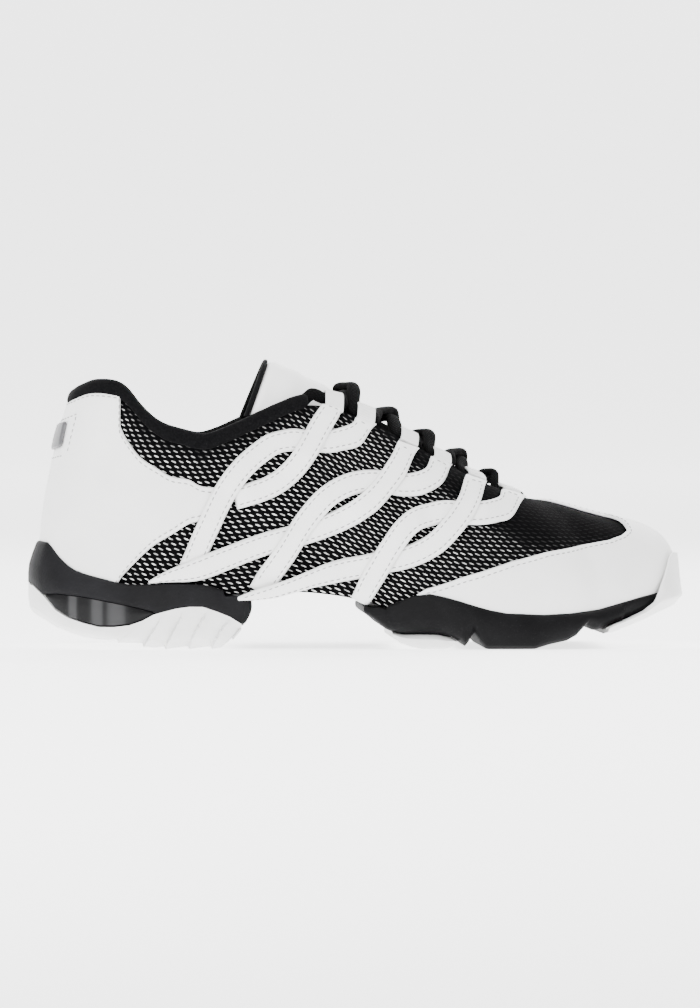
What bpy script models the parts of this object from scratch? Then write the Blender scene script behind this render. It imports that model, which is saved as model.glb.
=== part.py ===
"""Dance sneaker with a split sole: a right shoe, built as the separate pieces a maker joins.

Metres, +X to the toe, -Y the outer side, +Z up, floor at z = 0.
"""

import bpy
import numpy as np

# Driving sizes
LENGTH = 0.270
BALL_WIDTH = 0.094
COLLAR_HEIGHT = 0.1095
INSTEP_HEIGHT = 0.102
HEEL_STACK = 0.022
BALL_STACK = 0.012
WALL = 0.0025
GAP = 0.0003
OVERLAY_GAP = 0.0006
CUP_GAP = 0.0008
OVERLAY = 0.0012
CUP_WALL = 0.0020
LIP_WALL = 0.0026
BED = 0.0034
INSOLE = 0.0040
INSOLE_GAP = 0.0009
COLLAR_ROLL = 0.0046
TONGUE_WALL = 0.0030
LACE_WIDTH = 0.0042
LACE_THICKNESS = 0.0022
LACE_CLEAR = 0.0008
LAST_PINCH = 0.58
WEBBING = 0.0070
WEBBING_THICKNESS = 0.0011
BINDING = 0.0022
SEAM = 0.0006

# The side pattern is drawn on a grid: units from the heel end, units above the floor
GRID_LENGTH = 655.0
GRID_INSTEP = 248.0
GRID_HEEL = 53.4
GRID_BALL = 29.1

OUTER = -1
INNER = 1

# The last, from the middle of the heel (around 0) to the middle of the toe (around 1), a row for each section.
# Lengths are shares of LENGTH, breadths of BALL_WIDTH, lows of HEEL_STACK,
# tops of COLLAR_HEIGHT plus INSTEP_HEIGHT.
LAST_COLUMNS = ("around", "along", "swing", "half", "low",
                "top_along", "top_half", "top_collar", "top_instep", "flare", "rise", "out", "down")
LAST_ROWS = (
    (0.000, 0.044, 0.000, 0.000, 1.000, 0.066, 0.000, 0.918, 0.000, 0.133, 0.100, 0.068, 0.220),
    (0.040, 0.054, 0.000, 0.122, 1.000, 0.074, 0.122, 0.932, 0.000, 0.117, 0.100, 0.062, 0.220),
    (0.080, 0.081, -0.003, 0.221, 1.000, 0.102, 0.206, 0.958, 0.000, 0.096, 0.100, 0.050, 0.220),
    (0.130, 0.130, -0.008, 0.285, 0.995, 0.142, 0.262, 0.945, 0.000, 0.080, 0.100, 0.035, 0.220),
    (0.165, 0.169, -0.010, 0.301, 0.985, 0.172, 0.296, 0.850, 0.000, 0.075, 0.100, 0.030, 0.200),
    (0.200, 0.207, -0.011, 0.309, 0.980, 0.207, 0.318, 0.785, 0.000, 0.074, 0.100, 0.025, 0.180),
    (0.240, 0.252, -0.013, 0.306, 0.975, 0.248, 0.330, 0.758, 0.000, 0.074, 0.100, 0.022, 0.170),
    (0.280, 0.296, -0.016, 0.300, 1.000, 0.286, 0.332, 0.600, 0.180, 0.074, 0.100, 0.022, 0.170),
    (0.360, 0.385, -0.024, 0.283, 1.060, 0.360, 0.305, 0.300, 0.590, 0.080, 0.110, 0.030, 0.180),
    (0.440, 0.474, -0.029, 0.290, 0.970, 0.426, 0.250, 0.000, 0.975, 0.080, 0.110, 0.085, 0.170),
    (0.520, 0.563, -0.027, 0.335, 0.705, 0.500, 0.210, 0.000, 0.925, 0.070, 0.120, 0.125, 0.130),
    (0.600, 0.652, -0.018, 0.402, 0.570, 0.589, 0.185, 0.000, 0.805, 0.062, 0.120, 0.150, 0.090),
    (0.680, 0.741, -0.003, 0.434, 0.525, 0.674, 0.165, 0.000, 0.685, 0.055, 0.120, 0.170, 0.060),
    (0.760, 0.826, 0.023, 0.412, 0.545, 0.752, 0.115, 0.000, 0.603, 0.050, 0.150, 0.190, 0.032),
    (0.800, 0.866, 0.037, 0.372, 0.590, 0.786, 0.000, 0.000, 0.588, 0.050, 0.160, 0.230, 0.030),
    (0.840, 0.900, 0.048, 0.325, 0.640, 0.814, 0.000, 0.000, 0.567, 0.052, 0.165, 0.235, 0.030),
    (0.890, 0.943, 0.060, 0.231, 0.800, 0.853, 0.000, 0.000, 0.535, 0.056, 0.165, 0.235, 0.034),
    (0.945, 0.967, 0.060, 0.120, 0.900, 0.882, 0.000, 0.000, 0.515, 0.060, 0.160, 0.240, 0.036),
    (1.000, 0.974, 0.058, 0.000, 0.945, 0.900, 0.000, 0.000, 0.504, 0.062, 0.155, 0.245, 0.040),
)

# Side contours of the two sole units on the pattern grid: units along, units up
HEEL_RIM = ((0, 106), (9, 105), (19, 93), (29, 84), (39, 78), (52, 74), (84, 66.5), (99, 64), (146, 65.3),
            (168, 64.6), (181, 62.3), (190, 59.2), (202, 55), (211, 50.3), (222, 48.5))
HEEL_LIP = ((0, 63), (4, 61.5), (13.8, 52.4), (26, 38), (38, 31), (53, 26), (68.5, 22.2), (84, 22.2), (99, 24),
            (112, 28.5), (123, 34.5), (132, 37), (146, 40.5), (159, 42.2), (172, 42), (186, 37.3),
            (199, 32), (211, 24.4), (222, 22))
WINDOW_TOP = ((13.8, 53), (26, 54), (38, 53), (53, 51.3), (68.5, 48.6), (84, 45.6), (99, 42.5), (112, 39.5),
              (124, 36.3))
HEEL_BOTTOM = ((0, 40), (5, 36), (12, 30), (18, 25.5), (29, 20), (42, 15.5), (53, 12), (65, 10), (76, 8),
               (88, 6.6), (99, 5), (112, 3), (124, 0), (190, 0), (199, 6), (206, 13), (212, 19))
FORE_RIM = ((328, 43), (338, 41.5), (351, 42.5), (362, 46), (370, 49), (381, 53), (399, 55), (413, 52),
            (427, 48), (442, 43), (456, 39), (472, 36), (510, 34.3), (538, 35.5), (568, 39), (592, 45),
            (617, 51), (633, 54), (655, 58))
FORE_BOTTOM = ((328, 38.5), (333, 35), (341, 29.5), (350, 22), (356.5, 18), (370, 15), (404, 15), (418, 12),
               (427, 7), (431, 3), (434, 6), (439.7, 16.6), (443, 12), (446, 6), (452, 0), (500, 0), (515, 4.5),
               (532, 8), (541, 13), (545, 18), (549, 23.5), (553.5, 21), (558, 18), (566, 18.5), (575, 23),
               (593, 29), (614, 37), (634, 42.5), (655, 45))
POD_BOTTOM = ((360, 11), (367, 6), (378, 2), (388, 0), (421, 0), (424.5, 2))
TOE_LIP = ((568, 17), (580, 22.3), (593, 26.4), (603, 30.5), (617, 36.6), (627, 45), (634, 56), (640, 66),
           (646, 78), (651, 88), (655, 93))
TOE_BOTTOM = ((566, 14.5), (575, 15.5), (593, 20), (614, 27.4), (634, 36), (640, 38))

# The straps on the side pattern, a row for each station from the loop down: units along, units up, the share of
# STRAP_WIDTH that it is wide there, and how many straps lie beneath it
STRAP_WIDTH = 0.0092
STRAPS = {
    "1a": ((300, 240, 0.85, 0.6), (296, 232, 0.95, 1), (288, 220, 1, 1), (281, 207, 1, 1), (273, 193, 1, 1),
           (264, 181, 1, 0.4), (250, 168, 1, 0), (236, 160, 1, 0), (222, 155, 1, 0), (203, 149.5, 1, 0)),
    "1b": ((333, 222, 0.85, 0), (328, 217, 0.95, 0), (320, 212, 1, 0), (306, 207, 1, 0), (290, 205.5, 1, 0),
           (274, 206, 1, 0), (262, 207, 1, 0), (248, 206, 1, 0), (235, 199, 1, 0.3), (222, 190, 1, 1),
           (208, 176, 1, 1), (197, 161, 1, 1), (188, 145, 1, 1), (181, 130, 1, 1), (175, 117, 1, 0.9),
           (170, 106, 1, 0), (164, 91, 1, 0)),
    "2a": ((376, 198, 0.85, 0.5), (371, 189, 0.95, 1), (362, 177, 1, 1), (353, 162, 1, 1), (346, 154, 1, 1),
           (338, 146.5, 1, 1), (329, 139.5, 1, 0.9), (318, 133, 1, 0.1), (300, 124.5, 1, 0), (280, 117.5, 1, 0),
           (262, 112, 1, 0), (240, 106.5, 1, 0), (214, 98, 1, 0.4), (195, 91, 1, 1), (170, 81.5, 1, 1),
           (152, 76.5, 0.74, 1), (138, 73.6, 0.48, 1), (126, 70.4, 0.20, 0.6)),
    "2b": ((409, 182, 0.85, 0), (403, 173, 0.95, 0), (393, 165, 1, 0), (376, 162, 1, 0), (360, 163.5, 1, 0),
           (346, 166, 1, 0), (332, 166, 1, 0), (319, 161.5, 1, 0), (309, 155.5, 1, 0.7), (300, 148.5, 1, 1),
           (286, 133, 1, 1), (273, 115, 1, 1), (262, 98, 1, 1), (255, 88, 1, 1), (249, 80, 1, 0.4),
           (240, 68, 0.95, 0)),
    "3a": ((444, 165, 0.85, 0.5), (440, 156, 0.95, 1), (433, 142, 1, 1), (424, 127, 1, 1), (415, 117, 1, 1),
           (405, 109, 1, 0.7), (392, 101, 1, 0), (371, 92, 1, 0), (352, 87, 1, 0), (330, 82, 1, 0), (307, 78, 1, 0),
           (290, 75, 0.95, 0.8), (276, 72.5, 0.85, 1.4), (254, 68, 0.72, 1.6), (236, 64, 0.50, 1.6)),
    "3b": ((479, 146, 0.80, 0), (474, 140, 0.95, 0), (464, 136, 1, 0), (449, 133.5, 1, 0), (433, 134, 1, 0),
           (418, 135, 1, 0), (405, 133.5, 1, 0), (396, 130.5, 1, 0), (388, 126, 1, 0.8), (380, 119.5, 1, 1),
           (367, 102, 1, 1), (355, 84, 1, 1), (347, 73, 1, 1), (341, 66, 0.95, 1), (336, 60, 0.7, 0.6)),
}

# Heel counter on each side, a row for each upright: around, lower edge and upper edge in pattern units (none: the
# sole's rim, or the collar)
COUNTER_ROWS = ((0.0, None, None), (0.02, None, None), (0.04, None, None), (0.06, None, None), (0.08, None, None),
                (0.10, None, None), (0.12, None, None), (0.138, None, 252), (0.142, 73, 204), (0.158, 86, 188),
                (0.186, 104, 175), (0.215, 117, 165), (0.247, 127, 160), (0.280, 137, 159))
# Top edge of the toe cap on the outer side: units along, units up; and on the inner side: around, up the wall
CAP_OUTER = ((392, 60), (408, 64.5), (427, 71.2), (446, 76.5), (478, 87), (512, 95), (545, 100), (578, 105),
             (591, 109), (598, 114))
CAP_INNER = ((0.66, 0.22), (0.70, 0.42), (0.74, 0.70), (0.775, 0.90), (0.81, 0.955), (0.86, 0.965),
             (0.92, 0.97), (0.945, 1.0))
CAP_TIP = 0.945

# The tongue, a row for each section: units along and up of its middle and of its sides, then half its breadth
# and its swing to one side as shares of BALL_WIDTH
TONGUE_ROWS = ((240, 285.5, 219, 231, 0.235, -0.022), (256, 279, 233, 226, 0.238, -0.024),
               (276, 270, 254, 219, 0.236, -0.026), (300, 257, 284, 211, 0.225, -0.028),
               (326, 240, 316, 200, 0.210, -0.029), (354, 222, 348, 187, 0.190, -0.026),
               (388, 202, 384, 171, 0.170, -0.018), (424, 181, 421, 156, 0.148, -0.009),
               (460, 159, 457, 140, 0.118, 0.003), (494, 138, 492, 127, 0.088, 0.020),
               (520, 126, 518, 119, 0.070, 0.032))

STRAP_STEPS = 16
LOOP_ALONG = (303, 334, 377, 410, 445, 480)
LOOP_TALL = 0.0074
LOOP_DEEP = 0.0052
LOOP_CLEAR = 0.0011
BADGE_UP = (0.752, 0.873)
BADGE_AROUND = 0.032
COUNTER_TOP = 0.965
COUNTER_STEPS = 6
CAP_STEPS = 7
CAP_BETWEEN = (0.69, 0.7225, 0.7475, 0.77, 0.79)
COLLAR_FRONT = 0.43

COLORS = {
    "white": ((0.86, 0.86, 0.86), 0.45),
    "black": ((0.02, 0.02, 0.02), 0.75),
    "rubber": ((0.78, 0.78, 0.78), 0.5),
    "foam": ((0.03, 0.03, 0.03), 0.7),
    "smoke": ((0.25, 0.25, 0.26), 0.2),
    "grey": ((0.4, 0.4, 0.41), 0.4),
}


def slopes(knots, values, flat_ends):
    """Slopes of a smooth curve through the values that never runs past a high or low point."""
    steps = np.diff(values) / np.diff(knots)
    result = np.zeros(len(values))
    for i in range(1, len(values) - 1):
        left, right = steps[i - 1], steps[i]
        if left * right > 0:
            middle = (values[i + 1] - values[i - 1]) / (knots[i + 1] - knots[i - 1])
            limit = 3 * min(abs(left), abs(right))
            result[i] = np.sign(middle) * min(abs(middle), limit)
    if not flat_ends:
        result[0] = steps[0] * 1.5 - result[1] * 0.5
        result[-1] = steps[-1] * 1.5 - result[-2] * 0.5
    return result


def follow(knots, values, slope, at):
    """Value and slope of the smooth curve."""
    at = np.clip(np.asarray(at, float), knots[0], knots[-1])
    i = np.clip(np.searchsorted(knots, at, side="right") - 1, 0, len(knots) - 2)
    span = knots[i + 1] - knots[i]
    s = (at - knots[i]) / span
    a, b = values[i], values[i + 1]
    m, n = slope[i] * span, slope[i + 1] * span
    value = (2 * s**3 - 3 * s**2 + 1) * a + (s**3 - 2 * s**2 + s) * m
    value = value + (3 * s**2 - 2 * s**3) * b + (s**3 - s**2) * n
    change = (6 * s**2 - 6 * s) * (a - b) + (3 * s**2 - 4 * s + 1) * m + (3 * s**2 - 2 * s) * n
    return value, change / span


LAST = {}
for number, name in enumerate(LAST_COLUMNS):
    column = np.array([row[number] for row in LAST_ROWS])
    LAST[name] = column
LAST_SLOPES = {name: slopes(LAST["around"], LAST[name], name not in ("half", "top_half"))
               for name in LAST_COLUMNS[1:]}


def last(name, around):
    return follow(LAST["around"], LAST[name], LAST_SLOPES[name], around)


def contour(points, at):
    """Height of a side contour, straight between its points."""
    along = [p[0] for p in points]
    up = [p[1] for p in points]
    return np.interp(at, along, up)


def grid_x(units):
    return (np.asarray(units, float) / GRID_LENGTH - 0.5) * LENGTH


def units_of(x):
    return (np.asarray(x, float) / LENGTH + 0.5) * GRID_LENGTH


def around_at(units):
    """Place around the last whose feather line has this distance from the heel end."""
    return np.interp(np.asarray(units, float) / GRID_LENGTH, LAST["along"], LAST["around"])


def foot(around, side):
    """Feather line: where the wall meets the sole, and its outward direction."""
    around = np.asarray(around, float)
    along, along_slope = last("along", around)
    swing, swing_slope = last("swing", around)
    half, half_slope = last("half", around)
    low, unused = last("low", around)
    base = np.stack([(along - 0.5) * LENGTH, (swing + side * half) * BALL_WIDTH, low * HEEL_STACK], -1)
    run = np.stack([along_slope * LENGTH, (swing_slope + side * half_slope) * BALL_WIDTH], -1)
    run = run / np.linalg.norm(run, axis=-1, keepdims=True)
    outward = np.stack([-side * run[..., 1], side * run[..., 0], np.zeros_like(along)], -1)
    return base, outward


def wall(around, up, side):
    """Outside of the upper: around the last, and up from the feather line (0) to the top edge (1)."""
    around, up = np.broadcast_arrays(np.asarray(around, float), np.asarray(up, float))
    base, outward = foot(around, side)
    get = {name: last(name, around)[0] for name in LAST_COLUMNS[5:]}
    swing = last("swing", around)[0]
    height = get["top_collar"] * COLLAR_HEIGHT + get["top_instep"] * INSTEP_HEIGHT
    top = np.stack([(get["top_along"] - 0.5) * LENGTH,
                    (swing + side * get["top_half"]) * BALL_WIDTH, height], -1)
    upright = np.array([0.0, 0.0, 1.0])
    lower = base + outward * (get["flare"] * BALL_WIDTH)[..., None]
    lower = lower + upright * (get["rise"] * INSTEP_HEIGHT)[..., None]
    upper = top + outward * (get["out"] * BALL_WIDTH)[..., None]
    upper = upper - upright * (get["down"] * INSTEP_HEIGHT)[..., None]
    s = up[..., None]
    return (1 - s)**3 * base + 3 * (1 - s)**2 * s * lower + 3 * (1 - s) * s**2 * upper + s**3 * top


def square_to(around, up, side):
    """Direction square to the wall, outward."""
    step = 0.002
    u = np.clip(around, step, 1 - step)
    t = np.clip(up, step, 1 - 4 * step)
    run = wall(u + step, t, side) - wall(u - step, t, side)
    climb = wall(u, t + step, side) - wall(u, t - step, side)
    square = -side * np.cross(run, climb)
    return square / np.linalg.norm(square, axis=-1, keepdims=True)


def skin(around, up, side, lift=0.0):
    """A point on the wall, lifted square to it; where both sides meet, it is lifted straight."""
    around, up = np.broadcast_arrays(np.asarray(around, float), np.asarray(up, float))
    middle = (around <= 0) | (around >= 1)
    middle = middle | ((up >= 1) & (last("top_half", around)[0] < 1e-6))
    square = square_to(around, up, side)
    straight = square + square_to(around, up, -side)
    straight[..., 1] = 0.0
    straight = straight / np.linalg.norm(straight, axis=-1, keepdims=True)
    square = np.where(middle[..., None], straight, square)
    return wall(around, up, side) + square * np.asarray(lift, float)[..., None]


def up_at(around, height, side, start=0.0, stop=0.75):
    """How far up the wall a height is."""
    around = np.asarray(around, float)
    low = np.full(around.shape, start)
    high = np.full(around.shape, stop)
    for repeat in range(30):
        middle = (low + high) / 2
        above = wall(around, middle, side)[..., 2] > height
        high = np.where(above, middle, high)
        low = np.where(above, low, middle)
    return (low + high) / 2


CHART_AROUND = np.linspace(0, 1, 101)
CHART_UP = np.linspace(0, 1, 41)
CHART = wall(CHART_AROUND[:, None], CHART_UP[None, :], OUTER)


def on_side(units, up_units):
    """Place on the wall that lies at a point of the side pattern."""
    x = grid_x(units)
    z = up_units / GRID_INSTEP * INSTEP_HEIGHT
    distance = (CHART[..., 0] - x)**2 + (CHART[..., 2] - z)**2
    i, j = np.unravel_index(np.argmin(distance), distance.shape)
    place = np.array([CHART_AROUND[i], CHART_UP[j]])
    step = 1e-4
    for repeat in range(25):
        place = np.clip(place, (0.001, 0.0), (0.999, 1.0))
        here = wall(place[0], place[1], OUTER)[[0, 2]]
        run = (wall(min(place[0] + step, 1), place[1], OUTER)[[0, 2]] - here) / step
        climb = (here - wall(place[0], max(place[1] - step, 0), OUTER)[[0, 2]]) / step
        if place[1] <= step:
            climb = (wall(place[0], place[1] + step, OUTER)[[0, 2]] - here) / step
        matrix = np.stack([run, climb], -1)
        try_move = np.linalg.lstsq(matrix, np.array([x, z]) - here, rcond=1e-3)[0]
        place = place + np.clip(try_move, -0.05, 0.05)
    return np.clip(place, (0.001, 0.0), (0.999, 1.0))


def material(name):
    if name in bpy.data.materials:
        return bpy.data.materials[name]
    color, roughness = COLORS[name]
    new = bpy.data.materials.new(name)
    new.use_nodes = True
    shader = new.node_tree.nodes["Principled BSDF"]
    shader.inputs["Base Color"].default_value = (*color, 1)
    shader.inputs["Roughness"].default_value = roughness
    return new


def add(name, points, faces, finish):
    """One closed body from points and faces, with doubled points merged."""
    points = [tuple(p) for p in points]
    places = {}
    index = []
    kept = []
    for point in points:
        key = tuple(round(c * 1e6) for c in point)
        if key not in places:
            places[key] = len(kept)
            kept.append(point)
        index.append(places[key])
    clean = []
    for face in faces:
        loop = [index[i] for i in face]
        loop = [v for k, v in enumerate(loop) if v != loop[k - 1]]
        if len(set(loop)) >= 3:
            clean.append(loop)
    mesh = bpy.data.meshes.new(name)
    mesh.from_pydata(kept, [], clean)
    mesh.update()
    mesh.shade_smooth()
    mesh.set_sharp_from_angle(angle=0.7)
    new = bpy.data.objects.new(name, mesh)
    shoe.objects.link(new)
    mesh.materials.append(material(finish))
    return new


def face_out(thing):
    """Turns the faces of a closed body outward."""
    mesh = thing.data
    mesh.calc_loop_triangles()
    volume = 0.0
    for triangle in mesh.loop_triangles:
        a, b, c = (mesh.vertices[i].co for i in triangle.vertices)
        volume += a.dot(b.cross(c))
    if volume < 0:
        mesh.flip_normals()
    return thing


def loft(name, rings, finish, folded=(), closed=False):
    """Closed body through rings of points; an end is capped unless its ring is folded flat on itself."""
    rings = np.asarray(rings, float)
    count, around = rings.shape[:2]
    faces = []
    for i in range(count if closed else count - 1):
        for j in range(around):
            a = i * around + j
            b = i * around + (j + 1) % around
            c = (i + 1) % count * around + (j + 1) % around
            d = (i + 1) % count * around + j
            faces.append((a, b, c, d))
    if not closed and "first" not in folded:
        faces.append(tuple(range(around))[::-1])
    if not closed and "last" not in folded:
        faces.append(tuple((count - 1) * around + j for j in range(around)))
    return face_out(add(name, rings.reshape(-1, 3), faces, finish))


def slab(name, bottom, top, finish):
    """Closed body between two matching grids of points."""
    bottom, top = np.asarray(bottom, float), np.asarray(top, float)
    rows, columns = bottom.shape[:2]
    total = rows * columns
    faces = []
    for i in range(rows - 1):
        for j in range(columns - 1):
            a = i * columns + j
            faces.append((a, a + 1, a + columns + 1, a + columns))
            faces.append(tuple(total + k for k in (a + columns, a + columns + 1, a + 1, a)))
    border = [(0, j) for j in range(columns)] + [(i, columns - 1) for i in range(1, rows)]
    border += [(rows - 1, j) for j in range(columns - 2, -1, -1)] + [(i, 0) for i in range(rows - 2, 0, -1)]
    for k, (i, j) in enumerate(border):
        m, n = border[(k + 1) % len(border)]
        a, b = i * columns + j, m * columns + n
        faces.append((b, a, total + a, total + b))
    points = np.concatenate([bottom.reshape(-1, 3), top.reshape(-1, 3)])
    return face_out(add(name, points, faces, finish))


UPPER_ROWS = 8
MARGIN = 0.009
ARCH_BACK = 0.335
ARCH_FRONT = 0.470
UPPER_AROUND = (0.0, 0.02, 0.04, 0.06, 0.08, 0.10, 0.12, 0.142, 0.158, 0.186, 0.215, 0.247, 0.264, 0.28, ARCH_BACK,
                0.37, 0.405, 0.44, ARCH_FRONT, 0.50, 0.53, 0.56, 0.60, 0.64, 0.68, 0.71, 0.735, 0.76, 0.78,
                0.80, 0.82, 0.84, 0.86, 0.88, 0.90, 0.92, 0.94, 0.96, 0.98, 1.0)


def make_upper():
    """The hollow wall, open at the collar, the throat and under the heel and forefoot."""
    stations = UPPER_AROUND
    ups = np.linspace(0, 1, UPPER_ROWS)
    points, faces, where = [], [], {}

    def place(key, point):
        where[key] = len(points)
        points.append(point)

    for side in (OUTER, INNER):
        for i, around in enumerate(stations):
            base, outward = foot(around, side)
            centre = (foot(around, OUTER)[0] + foot(around, INNER)[0]) / 2
            reach = np.linalg.norm(base - centre)
            inside = base - outward * min(MARGIN, 0.9 * max(reach, 1e-9))
            if around in (0.0, 1.0):
                inside = base - outward * MARGIN
            place((side, i, "margin"), inside)
            place((side, i, "centre"), centre)
            for j, up in enumerate(ups):
                place((side, i, j), wall(around, up, side))
        for i in range(len(stations) - 1):
            for j in range(UPPER_ROWS - 1):
                quad = [(side, i, j), (side, i + 1, j), (side, i + 1, j + 1), (side, i, j + 1)]
                faces.append([where[k] for k in (quad if side == OUTER else quad[::-1])])
            quad = [(side, i, "margin"), (side, i + 1, "margin"), (side, i + 1, 0), (side, i, 0)]
            faces.append([where[k] for k in (quad if side == OUTER else quad[::-1])])
            if ARCH_BACK - 1e-6 <= stations[i] and stations[i + 1] <= ARCH_FRONT + 1e-6:
                quad = [(side, i, "centre"), (side, i + 1, "centre"), (side, i + 1, "margin"), (side, i, "margin")]
                faces.append([where[k] for k in (quad if side == OUTER else quad[::-1])])
    new = add("upper", points, faces, "black")
    thick = new.modifiers.new("wall", "SOLIDIFY")
    thick.thickness = WALL
    thick.offset = -1
    return new


def across(outer_points, inner_points):
    """A ring over both sides; the first and last points of each side lie on the middle and are shared."""
    first = (outer_points[0] + inner_points[0]) / 2
    final = (outer_points[-1] + inner_points[-1]) / 2
    return [first, *outer_points[1:-1], final, *inner_points[-2:0:-1]]


SPREAD = ((0, 0.1265), (0.04, 0.120), (0.08, 0.100), (0.13, 0.080), (0.20, 0.064), (0.30, 0.058), (0.40, 0.054),
          (0.52, 0.056), (0.60, 0.058), (0.76, 0.060), (0.84, 0.060), (0.90, 0.060), (1.0, 0.060))


def spread(around):
    """How far the sole's side stands out beyond the feather line."""
    return contour(SPREAD, around) * BALL_WIDTH


def heel_height(units):
    return units / GRID_HEEL * HEEL_STACK


def fore_height(units):
    return units / GRID_BALL * BALL_STACK


HEEL_FRONT = 221.0
HEEL_FRONT_LOW = 213.0
HEEL_BACK = (0.0, 0.015, 0.030, 0.050, 0.064, 0.080, 0.099)
WINDOW_BACK = 3
WINDOW_CLEAR = 0.0007
HEEL_SIDES = (82, 96, 110, 123, 133)
RIB_UNITS = (142, 156, 170, 184)
RIB_STEPS = ((0, 0.0), (2.5, 1.0), (6.5, 1.0))
RIB_DEPTH = 0.0014


def heel_stations():
    """Stations around the heel unit, each with its share of a groove between the ribs."""
    stations = [(around, 0.0) for around in HEEL_BACK]
    stations += [(float(around_at(units)), 0.0) for units in HEEL_SIDES]
    for rib in RIB_UNITS:
        stations += [(float(around_at(rib + shift)), groove) for shift, groove in RIB_STEPS]
    return stations + [(float(around_at(units)), 0.0) for units in (198, 205, 209.5)]


def heel_midsole_points(around, side):
    base, outward = foot(around, side)
    wide = spread(around)
    units = units_of(base[0] + outward[0] * wide)
    rim = heel_height(contour(HEEL_RIM, units))
    floor = base[2] - GAP
    cupped = rim > base[2] + 0.002
    up_rim = up_at(around, rim if cupped else base[2] + 0.0005, side)
    lift = CUP_GAP
    upright = np.array([0, 0, 1.0])
    edge = base + outward * CUP_GAP - upright * GAP
    if cupped:
        inner = [skin(around, up_rim * share, side, lift) for share in (0.3, 0.65, 1.0)]
    else:
        rim = min(rim, floor)
        inner = [edge + outward * share * CUP_WALL for share in (0.3, 0.65, 1.0)]
        for point, share in zip((edge, *inner), (1.0, 0.7, 0.4, 0.0)):
            point[2] = rim - CUP_GAP * share
    inner_rim = inner[-1]
    outer_rim = inner_rim + outward * CUP_WALL
    outer_rim[2] = rim
    inner_rim[2] = rim
    lip = heel_height(contour(HEEL_LIP, units)) + GAP
    step = lip
    if WINDOW_TOP[0][0] <= units <= WINDOW_TOP[-1][0]:
        step = max(lip, heel_height(contour(WINDOW_TOP, units)) + GAP)
    step = min(step, rim - 0.003)
    bulge = base + outward * wide
    bulge[2] = step + (rim - step) * 0.45
    out_low = base + outward * wide
    out_low[2] = step
    recess = LIP_WALL + SEAM * 1.2
    in_step = base + outward * (wide - recess)
    in_step[2] = step
    bed = heel_bed(around, side, lip - GAP) + GAP * 2
    in_low = base + outward * (wide - recess - 0.0034)
    in_low[2] = bed
    centre = (foot(around, OUTER)[0] + foot(around, INNER)[0]) / 2
    floor_z = edge[2]
    top_centre = np.array([base[0], centre[1], floor_z])
    low_centre = np.array([base[0], centre[1], in_low[2]])
    return [top_centre, edge, *inner, outer_rim, bulge, out_low, in_step, in_low, low_centre]


def heel_low(around, side):
    base, outward = foot(around, side)
    tuck = 0.0045 + 0.005 * max(0.0, 1 - around / 0.1)
    edge = base + outward * (spread(around) - tuck)
    return edge, heel_height(contour(HEEL_BOTTOM, units_of(edge[0])))


def heel_bed(around, side, lip):
    """Height of the floor inside the heel outsole."""
    low = heel_low(around, side)[1]
    return min(low + BED, lip - 0.0015)


def make_heel_midsole():
    rings = []
    for around, groove in heel_stations():
        if groove:
            continue
        rings.append(across(heel_midsole_points(around, OUTER), heel_midsole_points(around, INNER)))
    front = [np.array(p) for p in rings[-1]]
    middle = np.mean([p[2] for p in front])
    for p in front:
        p[0] = grid_x(HEEL_FRONT if p[2] > middle else HEEL_FRONT_LOW)
        p[1] = p[1] * 0.97
    rings.append(front)
    return loft("heel_midsole", rings, "foam", ("first",))


def heel_outsole_points(around, side, groove=0.0):
    base, outward = foot(around, side)
    wide = spread(around)
    units = units_of(base[0] + outward[0] * wide)
    lip = heel_height(contour(HEEL_LIP, units))
    edge, low = heel_low(around, side)
    bed = heel_bed(around, side, lip)
    centre = (foot(around, OUTER)[0] + foot(around, INNER)[0]) / 2

    def at(distance, height):
        point = base + outward * distance
        point[2] = height
        return point

    low_edge = np.array([edge[0], edge[1], low + groove * 0.5])
    knee = at(wide - 0.0012 - groove, low + (lip - low) * 0.28)
    side_mid = at(wide - groove * 0.6, low + (lip - low) * 0.62)
    lip_out = at(wide - 0.0002, lip)
    lip_in = at(wide - LIP_WALL, lip)
    bed_edge = at(wide - LIP_WALL - 0.002, bed)
    bed_centre = np.array([base[0], centre[1], bed])
    low_centre = np.array([base[0], centre[1], low + groove])
    return [bed_centre, bed_edge, lip_in, lip_out, side_mid, knee, low_edge, low_centre]


def make_heel_outsole():
    """White rubber under the heel, with slanted ribs on its side and grooves across the tread."""
    rings = []
    for around, share in heel_stations():
        groove = share * RIB_DEPTH
        rings.append(across(heel_outsole_points(around, OUTER, groove), heel_outsole_points(around, INNER, groove)))
    return loft("heel_outsole", rings, "rubber", ("first",))


def make_window(side):
    """Smoky side window between the midsole and the lip of the outsole."""
    rings = []
    stations = list(HEEL_BACK[WINDOW_BACK:]) + [float(around_at(units)) for units in HEEL_SIDES[:4]]
    for around in stations:
        base, outward = foot(around, side)
        wide = spread(around)
        units = units_of(base[0] + outward[0] * wide)
        low = heel_height(contour(HEEL_LIP, units)) + WINDOW_CLEAR
        high = heel_height(contour(WINDOW_TOP, units))
        ring = []
        for distance, height in ((wide - LIP_WALL, low), (wide - 0.0004, low), (wide - 0.0004, high),
                                 (wide - LIP_WALL, high)):
            point = base + outward * distance
            point[2] = height
            ring.append(point)
        rings.append(ring)
    return loft(f"heel_window_{'lateral' if side == OUTER else 'medial'}", rings, "smoke")


FORE_UNITS = (330, 336, 343, 351, 360, 370, 382, 399, 413, 424, 431, 435, 440, 445, 452, 476, 500, 515,
              532, 541, 545, 549, 554, 566, 575)
POD_UNITS = (360, 370, 382, 399, 413, 424)
POD_ROUNDING = 0.003
TOE_AROUND = (0.84, 0.86, 0.88, 0.90, 0.92, 0.94, 0.96, 0.98, 1.0)


def fore_stations():
    return np.array([float(around_at(units)) for units in FORE_UNITS] + list(TOE_AROUND))


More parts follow.
